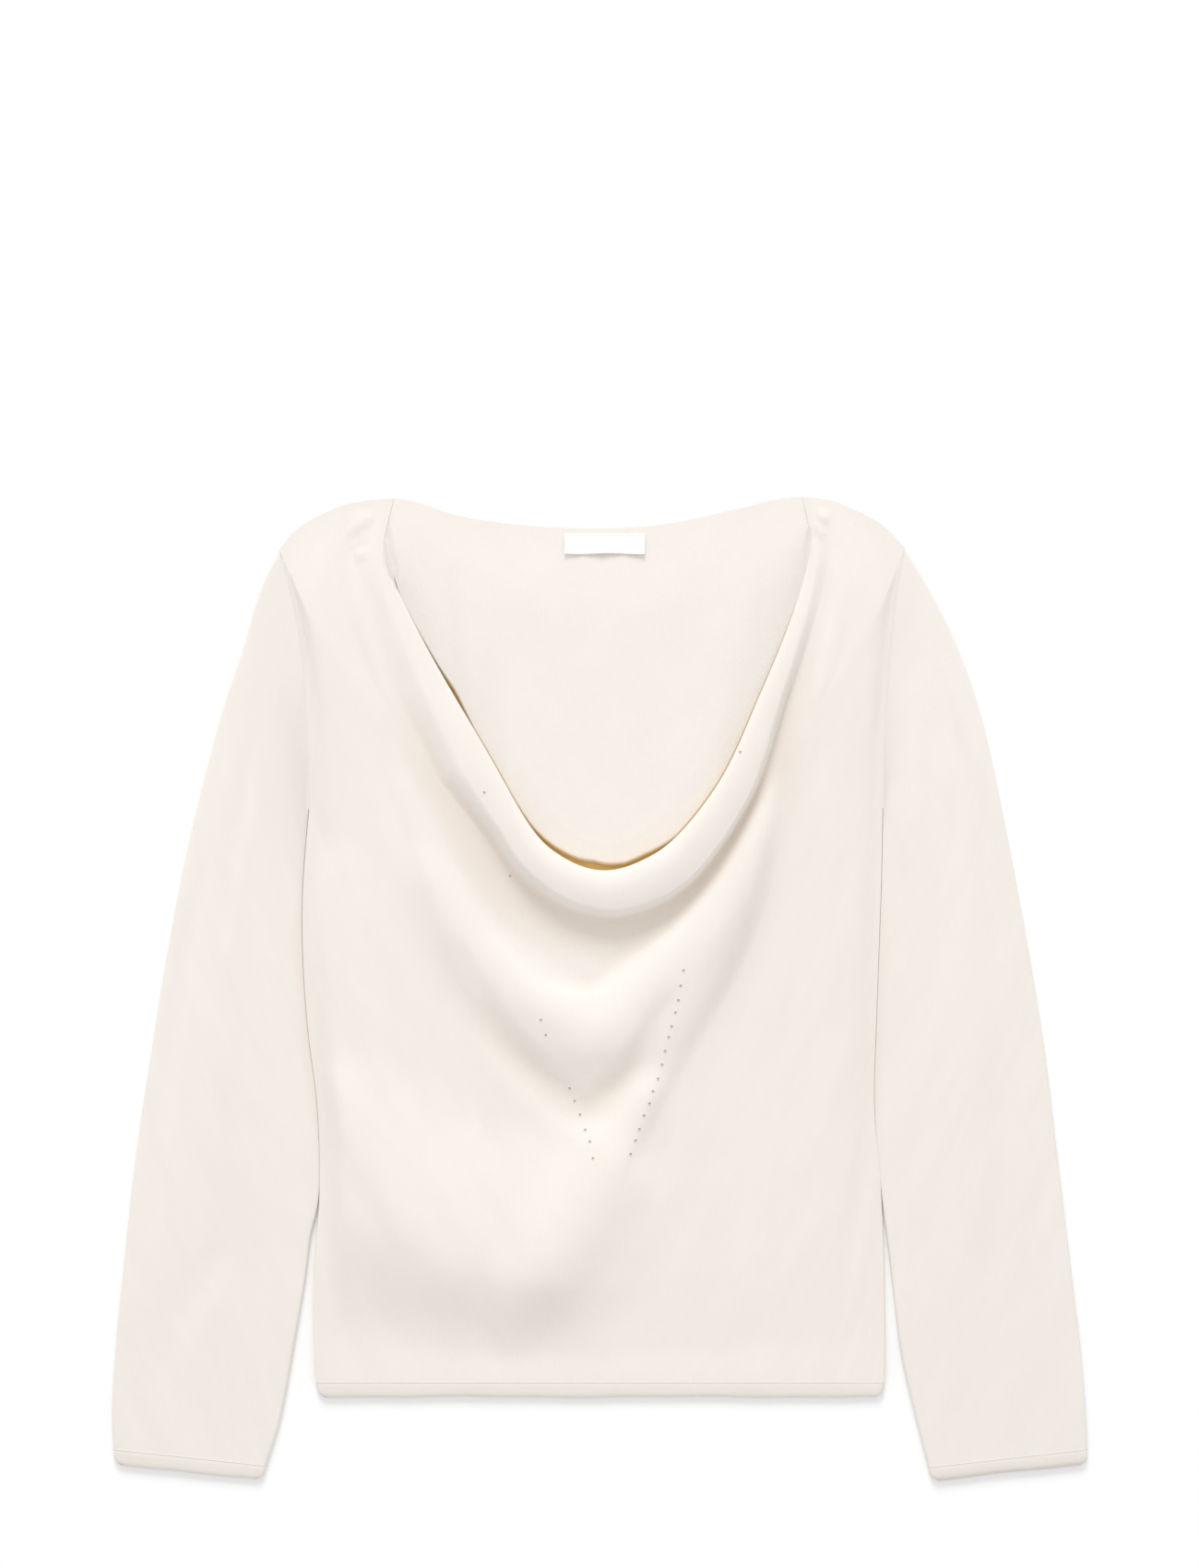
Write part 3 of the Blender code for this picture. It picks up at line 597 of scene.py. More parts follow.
def laid_along_slit(uu, ww):
    """Moves the rows so that one of them follows the slit and gives it a clean edge."""
    inner, slit = from_slit(back_place(uu, ww))
    gap = inner - slit
    last = np.maximum((gap > 0).sum(axis=0) - 1, 0)
    column = np.arange(gap.shape[1])
    above, below = gap[last, column], gap[last + 1, column]
    part = np.clip(above / np.maximum(above - below, 1e-6), 0.0, 1.0)
    meets = ww[last, column] + part * (ww[last + 1, column] - ww[last, column])
    meets = np.maximum(meets, SLIT_LEAST)
    below_slit = meets + (ww - SLIT_ROW) * (1 - meets) / (1 - SLIT_ROW)
    return np.where(ww <= SLIT_ROW, ww * meets / SLIT_ROW, below_slit)


print("the back starts to rise", SLIT_ROWS[:, 1].max(), "mm inside the neck edge where the slit is widest")

# %% Height of the back
BACK_SWELL = 4.2
DIVE = 3.4  # how far from the slit the back has reached its fullness
BACK_RISE = (-8.0, 36.0)  # the distances from its upper edge in which the back rises to its fullness
RISE_AT_EDGE = 0.60  # the share of that rise which it already has at the edge
LOW_BY_NECK = 0.62  # the share of its fullness near that edge
LOW_TO_FULL = (6.0, 60.0)  # the distances from that edge in which this share grows to the whole
FAR_FROM_SLIT = (60.0, 10.0)  # the distances from the neck edge in which the back is fuller by the slit
FULL_INSIDE = 0.75  # the share of its fullness far from the slit
BACK_LINE = (17.0, 2.6, 0.12)  # the faint ridge beside the neck: distance, half-width, rise
LINE_FROM_TOP = (2.0, 20.0)  # the distances from the upper edge in which that ridge comes in
SLIT_SHADE = (-1.8, -0.6)  # where the back starts to rise, in the table above: the painted shade shows, is full
SHADE_EDGE = (2.7, 1.7)  # how far up the diving cloth that painted shade reaches


def back_height(place):
    """The outer skin of the back above the surface."""
    inner, slit = from_slit(place)
    from_top, _, _, _ = near(BACK_TOP_EDGE, place)
    rise = RISE_AT_EDGE + (1 - RISE_AT_EDGE) * soft_step(*BACK_RISE, from_top)
    full = soft_step(slit, slit + DIVE, inner) * rise
    full *= LOW_BY_NECK + (1 - LOW_BY_NECK) * soft_step(*LOW_TO_FULL, from_top)
    full *= FULL_INSIDE + (1 - FULL_INSIDE) * soft_step(*FAR_FROM_SLIT, inner)
    line_at, line_half, line_rise = BACK_LINE
    ridge = line_rise * np.exp(-((inner - line_at) / line_half) ** 2) * soft_step(*LINE_FROM_TOP, from_top)
    return BACK_TOP + BACK_SWELL * full + ridge


def back_rows():
    """The net of the back, and where warm shade is painted on it in the slit."""
    uu, ww = np.meshgrid(graded(BACK_COLUMN_RUNS), graded(BACK_ROW_RUNS))
    place = back_place(uu, laid_along_slit(uu, ww))
    inner, slit = from_slit(place)
    shade = soft_step(slit + SHADE_EDGE[0], slit + SHADE_EDGE[1], inner) * soft_step(*SLIT_SHADE, slit)
    return np.dstack([place, back_height(place)]), {"inside": shade}


print("far from its edges the back is", round(BACK_TOP + BACK_SWELL * FULL_INSIDE, 2), "mm high")

# %% Cloth of the back
back_net, back_marks = back_rows()
back, back_area = cloth_piece("back_of_cloth", back_net, back_marks)
print("the back's fullest place, mm:", round(float(back_net[..., 2].max()), 1))

# %% [markdown]
# ## Sleeves, bands and cuffs
# A sleeve is a tube that lies flat, so its rings are long flattened loops: flat below, folded at both
# sides and softly full above. The bands at the hem and the cuffs are knitted on, a little denser
# than the body, with rounded lower corners.

# %% A ring round a flattened tube
CAP_STEPS = 9
SLANT_MIN = 0.35  # the least sine of the angle between a ring and a fold


def flat_ring(place, width, top, across, slant=(1.0, 1.0)):
    """A closed ring of points. place(d) is at a distance from the outer fold, top(t) the height there.

    slant holds the sines of the angles at which the ring meets its two folds.
    """
    half = TUBE_EDGE / 2
    start, stop = (half / max(sine, SLANT_MIN) for sine in slant)
    last = width - stop
    level = np.linspace(start, last, across + 1)
    turn = np.pi * np.arange(1, CAP_STEPS) / CAP_STEPS
    height = top(level[::-1] / width)
    height[0] = height[-1] = TUBE_EDGE
    d = np.concatenate([level, last + stop * np.sin(turn), level[::-1], start - start * np.sin(turn)])
    z = np.concatenate([np.zeros(across + 1), half - half * np.cos(turn), height, half + half * np.cos(turn)])
    return np.column_stack([place(d), z])


print("a cap has", CAP_STEPS - 1, "points between its ends")

# %% Outline and folds of the sleeves
SLEEVE_OUTER = {
    "left": ((-228, 269), (-239, 232), (-255, 182), (-274, 108), (-289, 33), (-301, -41),
             (-312, -116), (-320, -190), (-325, -240), (-327.5, -283), (-326, -308)),
    "right": ((222, 269), (240, 232), (257, 182), (273, 108), (287, 33), (299, -41),
              (308, -116), (317, -190), (323, -240), (326.5, -283), (327.5, -308)),
}
SLEEVE_INNER = {
    "left": ((-194, -165), (-198, -196), (-206, -243), (-214, -286), (-224, -319)),
    "right": ((193, -165), (196, -190), (202, -240), (210, -277), (221, -320)),
}
SIDE_POINTS_SHARED = {"left": 5, "right": 4}
SLEEVE_CLEARANCE = 0.1
SLEEVE_SWELL = 2.4
SLEEVE_RINGS = 150
SLEEVE_ACROSS = 64
INNER_LAG = 1.7  # the rings fan out from the underarm
BOW_FADE = 6  # how fast the rings lose the armhole's bow
FULL_ENDS = (0.22, 0.35)  # the shares of its length in which a sleeve's fullness comes and goes
OUT = {"left": -1, "right": 1}
# name, reach left of its run, reach right of its run, rise at the ends, rise in the middle, route
SLEEVE_FOLDS = {
    "left": (
        ("long swell", 24, 32, 0.2, 1.8, ((-232, 200), (-244, 120), (-254, 20), (-262, -80), (-262, -190))),
        ("crease by the armhole", 12, 16, -0.2, -1.8, ((-222, 236), (-232, 170), (-246, 96), (-252, 20))),
        ("crease above the cuff", 20, 26, -0.3, -2.4,
         ((-250, -168), (-268, -198), (-290, -240), (-300, -296))),
        ("ridge above the cuff", 24, 26, 0.2, 1.2,
         ((-248, -196), (-262, -222), (-274, -262), (-278, -302))),
        ("crease at the outer fold", 14, 12, -0.2, -2.2,
         ((-262, 96), (-280, 20), (-296, -90), (-302, -180))),
    ),
    "right": (
        ("long swell", 26, 24, 0.2, 2.4, ((236, 180), (244, 90), (246, -10), (252, -110), (258, -200))),
        ("crease below the shoulder", 14, 11, -0.3, -3.0,
         ((222, 232), (238, 176), (254, 120), (263, 70), (273, 15), (285, -48), (295, -110))),
        ("crease at the outer fold", 18, 12, -0.2, -2.4, ((290, -60), (300, -140), (308, -210), (312, -280))),
        ("crease by the body", 10, 9, -0.2, -2.2, ((196, 122), (198, 88), (199, 50), (202, 10))),
    ),
}


def sleeve_edges(side):
    """The outer and inner folds of a sleeve, from the armhole to the cuff."""
    shift = OUT[side] * SLEEVE_CLEARANCE
    outer = smooth_line(((SHOULDER[side][0] + shift, SHOULDER[side][1]), *SLEEVE_OUTER[side]))
    beside = [(x + shift, y) for x, y in SIDE_BETWEEN[side][:SIDE_POINTS_SHARED[side]]]
    inner = smooth_line(((UNDERARM[side][0] + shift, UNDERARM[side][1]), *beside, *SLEEVE_INNER[side]))
    return outer, inner


print("sleeve folds:", {side: len(SLEEVE_FOLDS[side]) for side in SIDES})

# %% Sleeves
def sleeve_rings(side):
    """Rings from the armhole to the cuff. The first bows along the armhole."""
    outer, inner = sleeve_edges(side)
    rings = []
    for v in np.linspace(0, 1, SLEEVE_RINGS + 1):
        lag = v ** INNER_LAG
        a, b = along(outer, v), along(inner, lag)
        width = float(np.hypot(*(b - a)))
        slant = []
        for fold, share in ((outer, v), (inner, lag)):
            run = along(fold, share + SMALL_SHARE) - along(fold, share - SMALL_SHARE)
            turned = abs(float(run[0] * (b - a)[1] - run[1] * (b - a)[0]))
            slant.append(turned / float(np.hypot(*run)) / width)
        bow = (1 - v) ** BOW_FADE
        full = float(soft_step(0.0, FULL_ENDS[0], v) * soft_step(0.0, FULL_ENDS[1], 1 - v))

        def place(d):
            t = (d / width)[:, None]
            arm = along(ARMHOLE_EDGE[side], d / width)
            shoulder, underarm = np.array(SHOULDER[side]), np.array(UNDERARM[side])
            chord = shoulder + (underarm - shoulder) * t
            return a + (b - a) * t + bow * (arm - chord)

        def top(t):
            inner_share = np.sin(np.pi * np.clip(t, 0, 1))
            swell = SLEEVE_SWELL + fold_rise(SLEEVE_FOLDS[side], place(t * width))
            return TUBE_EDGE + inner_share ** ROUNDNESS * full * np.maximum(swell, 0.0)

        rings.append(flat_ring(place, width, top, SLEEVE_ACROSS, slant))
    return np.array(rings)


BESIDE_BODY = (8.0, 0.65)  # how wide and how deep the painted shade on the sleeve is where it dips beside the body
BESIDE_SHARES = (0.04, 0.20, 0.40, 0.56)  # the shares of the inner fold between which it comes and goes


def beside_body(side, net):
    """A soft painted shade on a sleeve along its inner fold, as long as it lies beside the body."""
    wide, deep = BESIDE_BODY
    start, full, fade, end = BESIDE_SHARES
    far, share, _, _ = near(sleeve_edges(side)[1], net[..., :2])
    return deep * soft_step(wide, 0.0, far) * soft_step(start, full, share) * soft_step(end, fade, share)


sleeves, sleeve_areas = {}, {}
for side in SIDES:
    net = sleeve_rings(side)
    if side == "left":
        net = net[:, ::-1]
    marks = {"fold": beside_body(side, net)}
    sleeves[side], sleeve_areas[side] = cloth_piece(f"sleeve_{side}_of_cloth", net, marks, closed=True)

# %% Bands at the hem and the cuffs
# share of the band's height, inset of its ends, share of its full thickness
BAND_ROWS = ((0.0, 0.0, 0.93), (0.1, 0.02, 0.99), (0.25, 0.1, 1.0), (0.4, 0.3, 0.98), (0.55, 0.8, 0.96),
             (0.7, 1.7, 0.93), (0.82, 2.9, 0.88), (0.92, 4.6, 0.78), (1.0, 6.5, 0.62))
BAND_WAVE = 0.35  # the small waves of a band's free edge
BAND_WAVE_TURNS = (0.043, 0.11)  # their turns in radians a millimetre
BAND_RISE = 0.3  # how much shorter the band is than its height, for those waves
BAND_END = 12  # how far from its ends the waves start
HEM_STEPS = 230  # steps across the hem band
CUFF_STEPS = 64


def band_rings(a, b, down, across, phase):
    """Rings round a band that hangs from the line between a and b."""
    a, b, down = np.array(a, float), np.array(b, float), np.array(down, float)
    rings = []
    for share, inset, thick in BAND_ROWS:
        drop = SEAM_GAP + (BAND_HEIGHT - SEAM_GAP) * share
        full = float(np.hypot(*(b - a)))
        way = (b - a) / full

        def place(d):
            s = inset + d
            slow, quick = BAND_WAVE_TURNS
            wave = BAND_WAVE * share * (np.sin(s * slow + phase) + 0.6 * np.sin(s * quick + 2.3 * phase))
            ends = soft_step(0, BAND_END, s) * soft_step(0, BAND_END, full - s)
            return a + way * s[:, None] + down * (drop - BAND_RISE * share + wave * ends)[:, None]

        def top(t):
            return np.full_like(t, TUBE_EDGE * thick)

        ring = flat_ring(place, full - 2 * inset, top, across)
        ring[:, 2] *= np.where(ring[:, 2] > TUBE_EDGE * thick, thick, 1.0)
        rings.append(ring)
    return np.array(rings)


def cuff_line(side):
    """The line where a cuff hangs from its sleeve, and the way down from it."""
    outer, inner = sleeve_edges(side)
    a, b = along(outer, 1.0), along(inner, 1.0)
    run = (b - a) / np.hypot(*(b - a))
    turn = 1 if side == "left" else -1
    return a, b, np.array((turn * run[1], -turn * run[0]))


hem_net = band_rings(HEM["left"], HEM["right"], (0.0, -1.0), HEM_STEPS, 0.4)[:, ::-1]
hem, _ = cloth_piece("hem_band_of_cloth", hem_net, closed=True)
cuffs = {}
for side in SIDES:
    net = band_rings(*cuff_line(side), CUFF_STEPS, 1.0 + OUT[side])
    if side == "left":
        net = net[:, ::-1]
    cuffs[side], _ = cloth_piece(f"cuff_{side}_of_cloth", net, closed=True)

# %% [markdown]
# ## The label
# A woven satin label is sewn to the back below the neckline. It is a small stiff ribbon, sewn at its
# upper edge, so its lower edge waves and throws a fine shadow. It stays blank.

# %% Label
LABEL_SIZE = (54.0, 13.5)
LABEL_CENTRE = (3.5, 300.0)
LABEL_WALL = 0.5
LABEL_GAP = 0.2  # between the label's underside and the back where it is sewn on
LABEL_LIFT = 1.5  # how far its lower edge stands off
LABEL_GRID = (73, 22)  # columns and rows of points


def label_net():
    """The label's upper face, a little wavy along its lower edge."""
    wide, high = LABEL_SIZE
    columns, rows = LABEL_GRID
    s, t = np.meshgrid(np.linspace(-0.5, 0.5, columns), np.linspace(0, 1, rows))
    x = LABEL_CENTRE[0] + wide * s
    y = LABEL_CENTRE[1] + high * (0.5 - t) + 0.35 * t * np.sin(x * 0.16 + 0.6)
    lift = LABEL_LIFT * t**2 * (0.62 + 0.38 * np.sin(x * 0.23 + 1.0)) + 0.12 * (1 + np.sin(x * 0.7)) * t
    return np.dstack([x, y, back_height(np.dstack([x, y])) + LABEL_WALL + LABEL_GAP + lift])


label, _ = cloth_piece("label_of_satin", label_net(), wall=LABEL_WALL)
print("the label is", LABEL_SIZE[0], "mm wide and", LABEL_SIZE[1], "mm high")

# %% [markdown]
# ## Fashioning marks and linked seams
# Where a knitter widens the cloth, one stitch is moved and a tiny eyelet stays. Two rows of them run
# down to the tip of the V. Each eyelet is a small ring of yarn round a dark hole: a torus and a
# sunken disc. It is modelled once, and each copy is set on the cloth and tilted with it.

# %% One eyelet and one stitch
def joined(name, parts):
    """One object from several, joined in order."""
    bpy.ops.object.select_all(action="DESELECT")
    for part in parts:
        part.select_set(True)
    bpy.context.view_layer.objects.active = parts[0]
    if len(parts) > 1:
        bpy.ops.object.join()
    parts[0].name = name
    parts[0].data.name = name
    return parts[0]


RING_FACES = (14, 6)  # faces round the ring and round its yarn
RING_RADIUS = 1.00
RING_YARN = 0.26  # radius of its yarn
HOLE_RADIUS = 0.95
HOLE_RIM = 0.30  # width of the hole's sloping rim
HOLE_TOP = 0.24  # height of the rim's outer edge
HOLE_SINK = 0.12  # how much lower the bottom is


def one_eyelet():
    """A ring of yarn with a dark sunken hole, at the origin. The ring's faces come first."""
    bpy.ops.object.select_all(action="DESELECT")
    bpy.ops.mesh.primitive_torus_add(major_radius=RING_RADIUS * MM, minor_radius=RING_YARN * MM,
                                     major_segments=RING_FACES[0], minor_segments=RING_FACES[1])
    ring = bpy.context.object
    bpy.ops.mesh.primitive_circle_add(vertices=RING_FACES[0], radius=HOLE_RADIUS * MM, fill_type="NGON",
                                      location=(0, 0, HOLE_TOP * MM))
    hole = bpy.context.object
    bpy.ops.object.mode_set(mode="EDIT")
    bpy.ops.mesh.select_all(action="SELECT")
    bpy.ops.mesh.inset(thickness=HOLE_RIM * MM)
    bpy.ops.transform.translate(value=(0, 0, -HOLE_SINK * MM))
    bpy.ops.object.mode_set(mode="OBJECT")
    bpy.ops.object.transform_apply(location=True, rotation=True, scale=True)
    return ring, hole


def one_stitch(long, wide, high):
    """A small raised stitch, longer than wide, at the origin along X."""
    bpy.ops.object.select_all(action="DESELECT")
    bpy.ops.mesh.primitive_uv_sphere_add(segments=8, ring_count=5, radius=0.5)
    stitch = bpy.context.object
    stitch.scale = (long * MM, wide * MM, high * MM)
    bpy.ops.object.transform_apply(location=False, rotation=False, scale=True)
    bpy.ops.object.shade_smooth()
    return stitch


print("helpers for eyelets and stitches are ready")

# %% Copies set on the cloth
def tree_of(pieces):
    """A search tree over the faces of some pieces, to find the cloth below a place."""
    corners, faces = [], []
    for piece in pieces:
        start = len(corners)
        corners.extend(v.co.copy() for v in piece.data.vertices)
        faces.extend([start + i for i in face.vertices] for face in piece.data.polygons)
    return BVHTree.FromPolygons(corners, faces)


def cloth_below(tree, x, y):
    """The highest point of the cloth at a place in mm, and the way its surface faces."""
    hit, normal, _, _ = tree.ray_cast(Vector((x * MM, y * MM, 0.1)), Vector((0, 0, -1)))
    if hit is None:
        return Vector((x * MM, y * MM, TUBE_EDGE * MM)), Vector((0, 0, 1))
    return hit, normal if normal.z > 0 else -normal


def set_copies(name, pattern, spots):
    """One piece with a copy of the pattern at each spot: its place, its normal and its turn in radians."""
    whole = bmesh.new()
    for point, normal, turn in spots:
        tilt = Vector((0, 0, 1)).rotation_difference(normal).to_matrix().to_4x4()
        start = len(whole.verts)
        whole.from_mesh(pattern.data)
        whole.verts.ensure_lookup_table()
        matrix = Matrix.Translation(point) @ tilt @ Matrix.Rotation(turn, 4, "Z")
        bmesh.ops.transform(whole, matrix=matrix, verts=whole.verts[start:])
    mesh = bpy.data.meshes.new(name)
    whole.to_mesh(mesh)
    whole.free()
    mesh.shade_smooth()
    piece = bpy.data.objects.new(name, mesh)
    bpy.context.scene.collection.objects.link(piece)
    bpy.data.objects.remove(pattern)
    print(name, "has", len(spots), "copies and", len(mesh.polygons), "faces")
    return piece


front_tree = tree_of([front])
print("height of the cloth at the tip of the V, mm:", round(cloth_below(front_tree, -4, -112)[0].z / MM, 1))

# %% Eyelets down to the tip of the V
# routes of the rows of eyelets on the front, and the single ones beside the neck
EYELET_ROWS = {
    "left of the V, above": ((-39, -18), (-36, -28)),
    "left of the V": ((-20, -65), (-13, -82), (-8, -96), (-4, -111)),
    "right of the V": ((56, 13), (52, -6), (48, -25), (42, -48), (35, -70), (27, -91), (21, -109)),
}
NEAR_NECK = {"left": ((-77, 133), (-60, 77)), "right": ((94, 160),)}
EYELET_STEP = 9.0
EYELET_DRIFT = (0.5, 1.2)  # how far an eyelet may stand off its row, across and along
draw = random.Random(7)
spots = []
for route in EYELET_ROWS.values():
    line = smooth_line(route)
    length = float(np.hypot(*np.diff(line[0], axis=0).T).sum())
    count = int(length / EYELET_STEP)
    for i in range(count + 1):
        x, y = along(line, i / count) + np.array([draw.uniform(-drift, drift) for drift in EYELET_DRIFT])
        point, normal = cloth_below(front_tree, float(x), float(y))
        spots.append((point, normal, 0.0))
for pair in NEAR_NECK.values():
    for x, y in pair:
        point, normal = cloth_below(front_tree, x, y)
        spots.append((point, normal, 0.0))
eyelets = set_copies("fashioning_eyelets", joined("eyelet", one_eyelet()), spots)

# %% [markdown]
# The panels are linked together, loop by loop. Seen from a step away a linked seam is a fine ridge of
# even small stitches, so one stitch is modelled and laid along each seam.

# %% Linked seams
LINK_STEP = 1.7  # from one stitch of a seam to the next
LINK_SINK = 0.1  # how far a stitch is sunk into the cloth
ARMHOLE_STITCH = (2.0, 1.1, 0.7)  # its length, width and height
BAND_STITCH = (2.1, 0.9, 0.6)


def seam_spots(tree, line, first, last):
    """Spots along a line, from a share of it to a share, each a little sunk into the cloth."""
    dense, _ = line
    length = float(np.hypot(*np.diff(dense, axis=0).T).sum()) * (last - first)
    count = int(length / LINK_STEP)
    found = []
    for i in range(count + 1):
        share = first + (last - first) * i / count
        (x, y), (ahead_x, ahead_y) = along(line, share), along(line, share + 0.002)
        (back_x, back_y) = along(line, share - 0.002)
        point, normal = cloth_below(tree, float(x), float(y))
        turn = math.atan2(ahead_y - back_y, ahead_x - back_x) + draw.uniform(-0.12, 0.12)
        found.append((point - Vector((0, 0, LINK_SINK * MM)), Vector((0, 0, 1)), turn))
    return found


seams = {}
for side in SIDES:
    dense, shares = ARMHOLE_EDGE[side]
    middle_line = (dense + np.array((OUT[side] * SLEEVE_CLEARANCE / 2, 0.0)), shares)
    tree = tree_of([front, sleeves[side]])
    seams[side] = set_copies(f"armhole_seam_{side}", one_stitch(*ARMHOLE_STITCH),
                             seam_spots(tree, middle_line, 0.02, 0.985))

# %% Seams of the hem and the cuffs
hem_line = smooth_line(((HEM["left"][0] + 2, HEM["left"][1]), (HEM["right"][0] - 2, HEM["right"][1])))
hem_seam = set_copies("hem_seam", one_stitch(*BAND_STITCH),
                      seam_spots(tree_of([front, hem]), hem_line, 0.0, 1.0))
cuff_seams = {}
for side in SIDES:
    a, b, _ = cuff_line(side)
    line = smooth_line((tuple(a + (b - a) * 0.02), tuple(a + (b - a) * 0.98)))
    tree = tree_of([sleeves[side], cuffs[side]])
    cuff_seams[side] = set_copies(f"cuff_seam_{side}", one_stitch(*BAND_STITCH),
                                  seam_spots(tree, line, 0.0, 1.0))

# %% The label's stitches
label_tree = tree_of([label])
wide, high = LABEL_SIZE
LABEL_STITCHES = 24
LABEL_STITCH = (1.7, 0.35, 0.3)
STITCH_INSET = (1.2, 1.1)  # how far the row stands in from the label's ends and its upper edge
label_edge = LABEL_CENTRE[1] + high / 2 - STITCH_INSET[1]
label_spots = []
for i in range(LABEL_STITCHES):
    x = LABEL_CENTRE[0] - wide / 2 + STITCH_INSET[0] + (wide - 2 * STITCH_INSET[0]) * i / (LABEL_STITCHES - 1)
    point, normal = cloth_below(label_tree, x, label_edge)
    label_spots.append((point, normal, 0.0))
label_stitches = set_copies("label_stitches", one_stitch(*LABEL_STITCH), label_spots)

# %% [markdown]
# ## Finishes
# The jersey is a matt ivory yarn with a soft fuzz. Its face is columns of small V-shaped stitches.
# They are far too many to model, so a shader group draws them from the cloth's own UV, as a height
# for a bump and as painted shade in the grooves between them. The group is built once and each knitted
# material sets its own gauge. Sheen stands for the fuzz.

# %% Helpers for shader nodes
def new_group(name, inputs, outputs):
    """A shader group with named number inputs and outputs."""
    group = bpy.data.node_groups.new(name, "ShaderNodeTree")
    for socket_name, value in inputs:
        socket = group.interface.new_socket(name=socket_name, in_out="INPUT", socket_type="NodeSocketFloat")
        socket.default_value = value
    for socket_name in outputs:
        group.interface.new_socket(name=socket_name, in_out="OUTPUT", socket_type="NodeSocketFloat")
    return group, group.nodes.new("NodeGroupInput"), group.nodes.new("NodeGroupOutput")


def maths(tree, operation, a, b=None, c=None):
    """A Math node on values or sockets."""
    node = tree.nodes.new("ShaderNodeMath")
    node.operation = operation
    for socket, value in zip(node.inputs, (a, b, c)):
        if value is None:
            continue
        if hasattr(value, "links"):
            tree.links.new(value, socket)
        else:
            socket.default_value = value
    return node.outputs[0]


print("shader helpers are ready")

# %% The knit's face as a group
def knit_face_group():
    """Height of a plain knit face, and painted shade in its grooves, from the cloth's UV in metres."""
    group, given, result = new_group(
        "knit_face",
        (("Wale mm", 1.5), ("Course mm", 1.1), ("Slant", 0.55), ("Unevenness", 0.5)),
        ("Height", "Groove shade", "Mottle"),
    )
    place = group.nodes.new("ShaderNodeUVMap")
    place.uv_map = "cloth"
    wander = group.nodes.new("ShaderNodeTexNoise")
    wander.inputs["Scale"].default_value = 60
    wander.inputs["Detail"].default_value = 2
    group.links.new(place.outputs["UV"], wander.inputs["Vector"])
    split = group.nodes.new("ShaderNodeSeparateXYZ")
    group.links.new(place.outputs["UV"], split.inputs[0])
    drift = maths(group, "MULTIPLY", maths(group, "SUBTRACT", wander.outputs["Fac"], 0.5), 0.0012)
    drift = maths(group, "MULTIPLY", drift, given.outputs["Unevenness"])
    across = maths(group, "MULTIPLY", maths(group, "ADD", split.outputs["X"], drift), 1000)
    across = maths(group, "DIVIDE", across, given.outputs["Wale mm"])
    down = maths(group, "MULTIPLY", split.outputs["Y"], 1000)
    down = maths(group, "DIVIDE", down, given.outputs["Course mm"])
    in_wale = maths(group, "ABSOLUTE", maths(group, "SUBTRACT", maths(group, "FRACT", across), 0.5))
    leg = maths(group, "MULTIPLY", maths(group, "SUBTRACT", in_wale, 0.25), 4)
    leg = maths(group, "SUBTRACT", 1, maths(group, "MULTIPLY", leg, leg))
    slanted = maths(group, "ADD", down, maths(group, "MULTIPLY", in_wale, given.outputs["Slant"]))
    wave = maths(group, "COSINE", maths(group, "MULTIPLY", slanted, 2 * math.pi))
    wave = maths(group, "MULTIPLY_ADD", wave, 0.25, 0.75)
    height = maths(group, "MULTIPLY", leg, wave)
    fuzz = group.nodes.new("ShaderNodeTexNoise")
    fuzz.inputs["Scale"].default_value = 900
    fuzz.inputs["Detail"].default_value = 3
    group.links.new(place.outputs["UV"], fuzz.inputs["Vector"])
    height = maths(group, "MULTIPLY_ADD", fuzz.outputs["Fac"], 0.5, height)
    group.links.new(height, result.inputs["Height"])
    # painted shade: the stitches are darker where their relief is low, in the grooves
    group.links.new(maths(group, "MULTIPLY_ADD", leg, 0.5, 0.5), result.inputs["Groove shade"])
    mottle = group.nodes.new("ShaderNodeTexNoise")
    mottle.inputs["Scale"].default_value = 22
    mottle.inputs["Detail"].default_value = 3
    mottle.inputs["Roughness"].default_value = 0.6
    group.links.new(place.outputs["UV"], mottle.inputs["Vector"])
    group.links.new(mottle.outputs["Fac"], result.inputs["Mottle"])
    return group


KNIT_FACE = knit_face_group()
print("the group has", len(KNIT_FACE.nodes), "nodes")

# %% Knitted materials
SHADE_INSIDE = (0.84, 0.62, 0.27)  # painted warm shade between two layers of the jersey
SHADE_FOLD = (0.82, 0.742, 0.665)  # painted shade at the bottom of a deep fold, a warmer tone


def mix_colour(tree, factor, a, b):
    """A colour mix. factor, a and b are values or sockets."""
    node = tree.nodes.new("ShaderNodeMix")
    node.data_type = "RGBA"
    for index, value in ((0, factor), (6, a), (7, b)):
        socket = node.inputs[index]
        if hasattr(value, "links"):
            tree.links.new(value, socket)
        elif index == 0:
            socket.default_value = value
        else:
            socket.default_value = (*value, 1.0)
    return node.outputs[2]


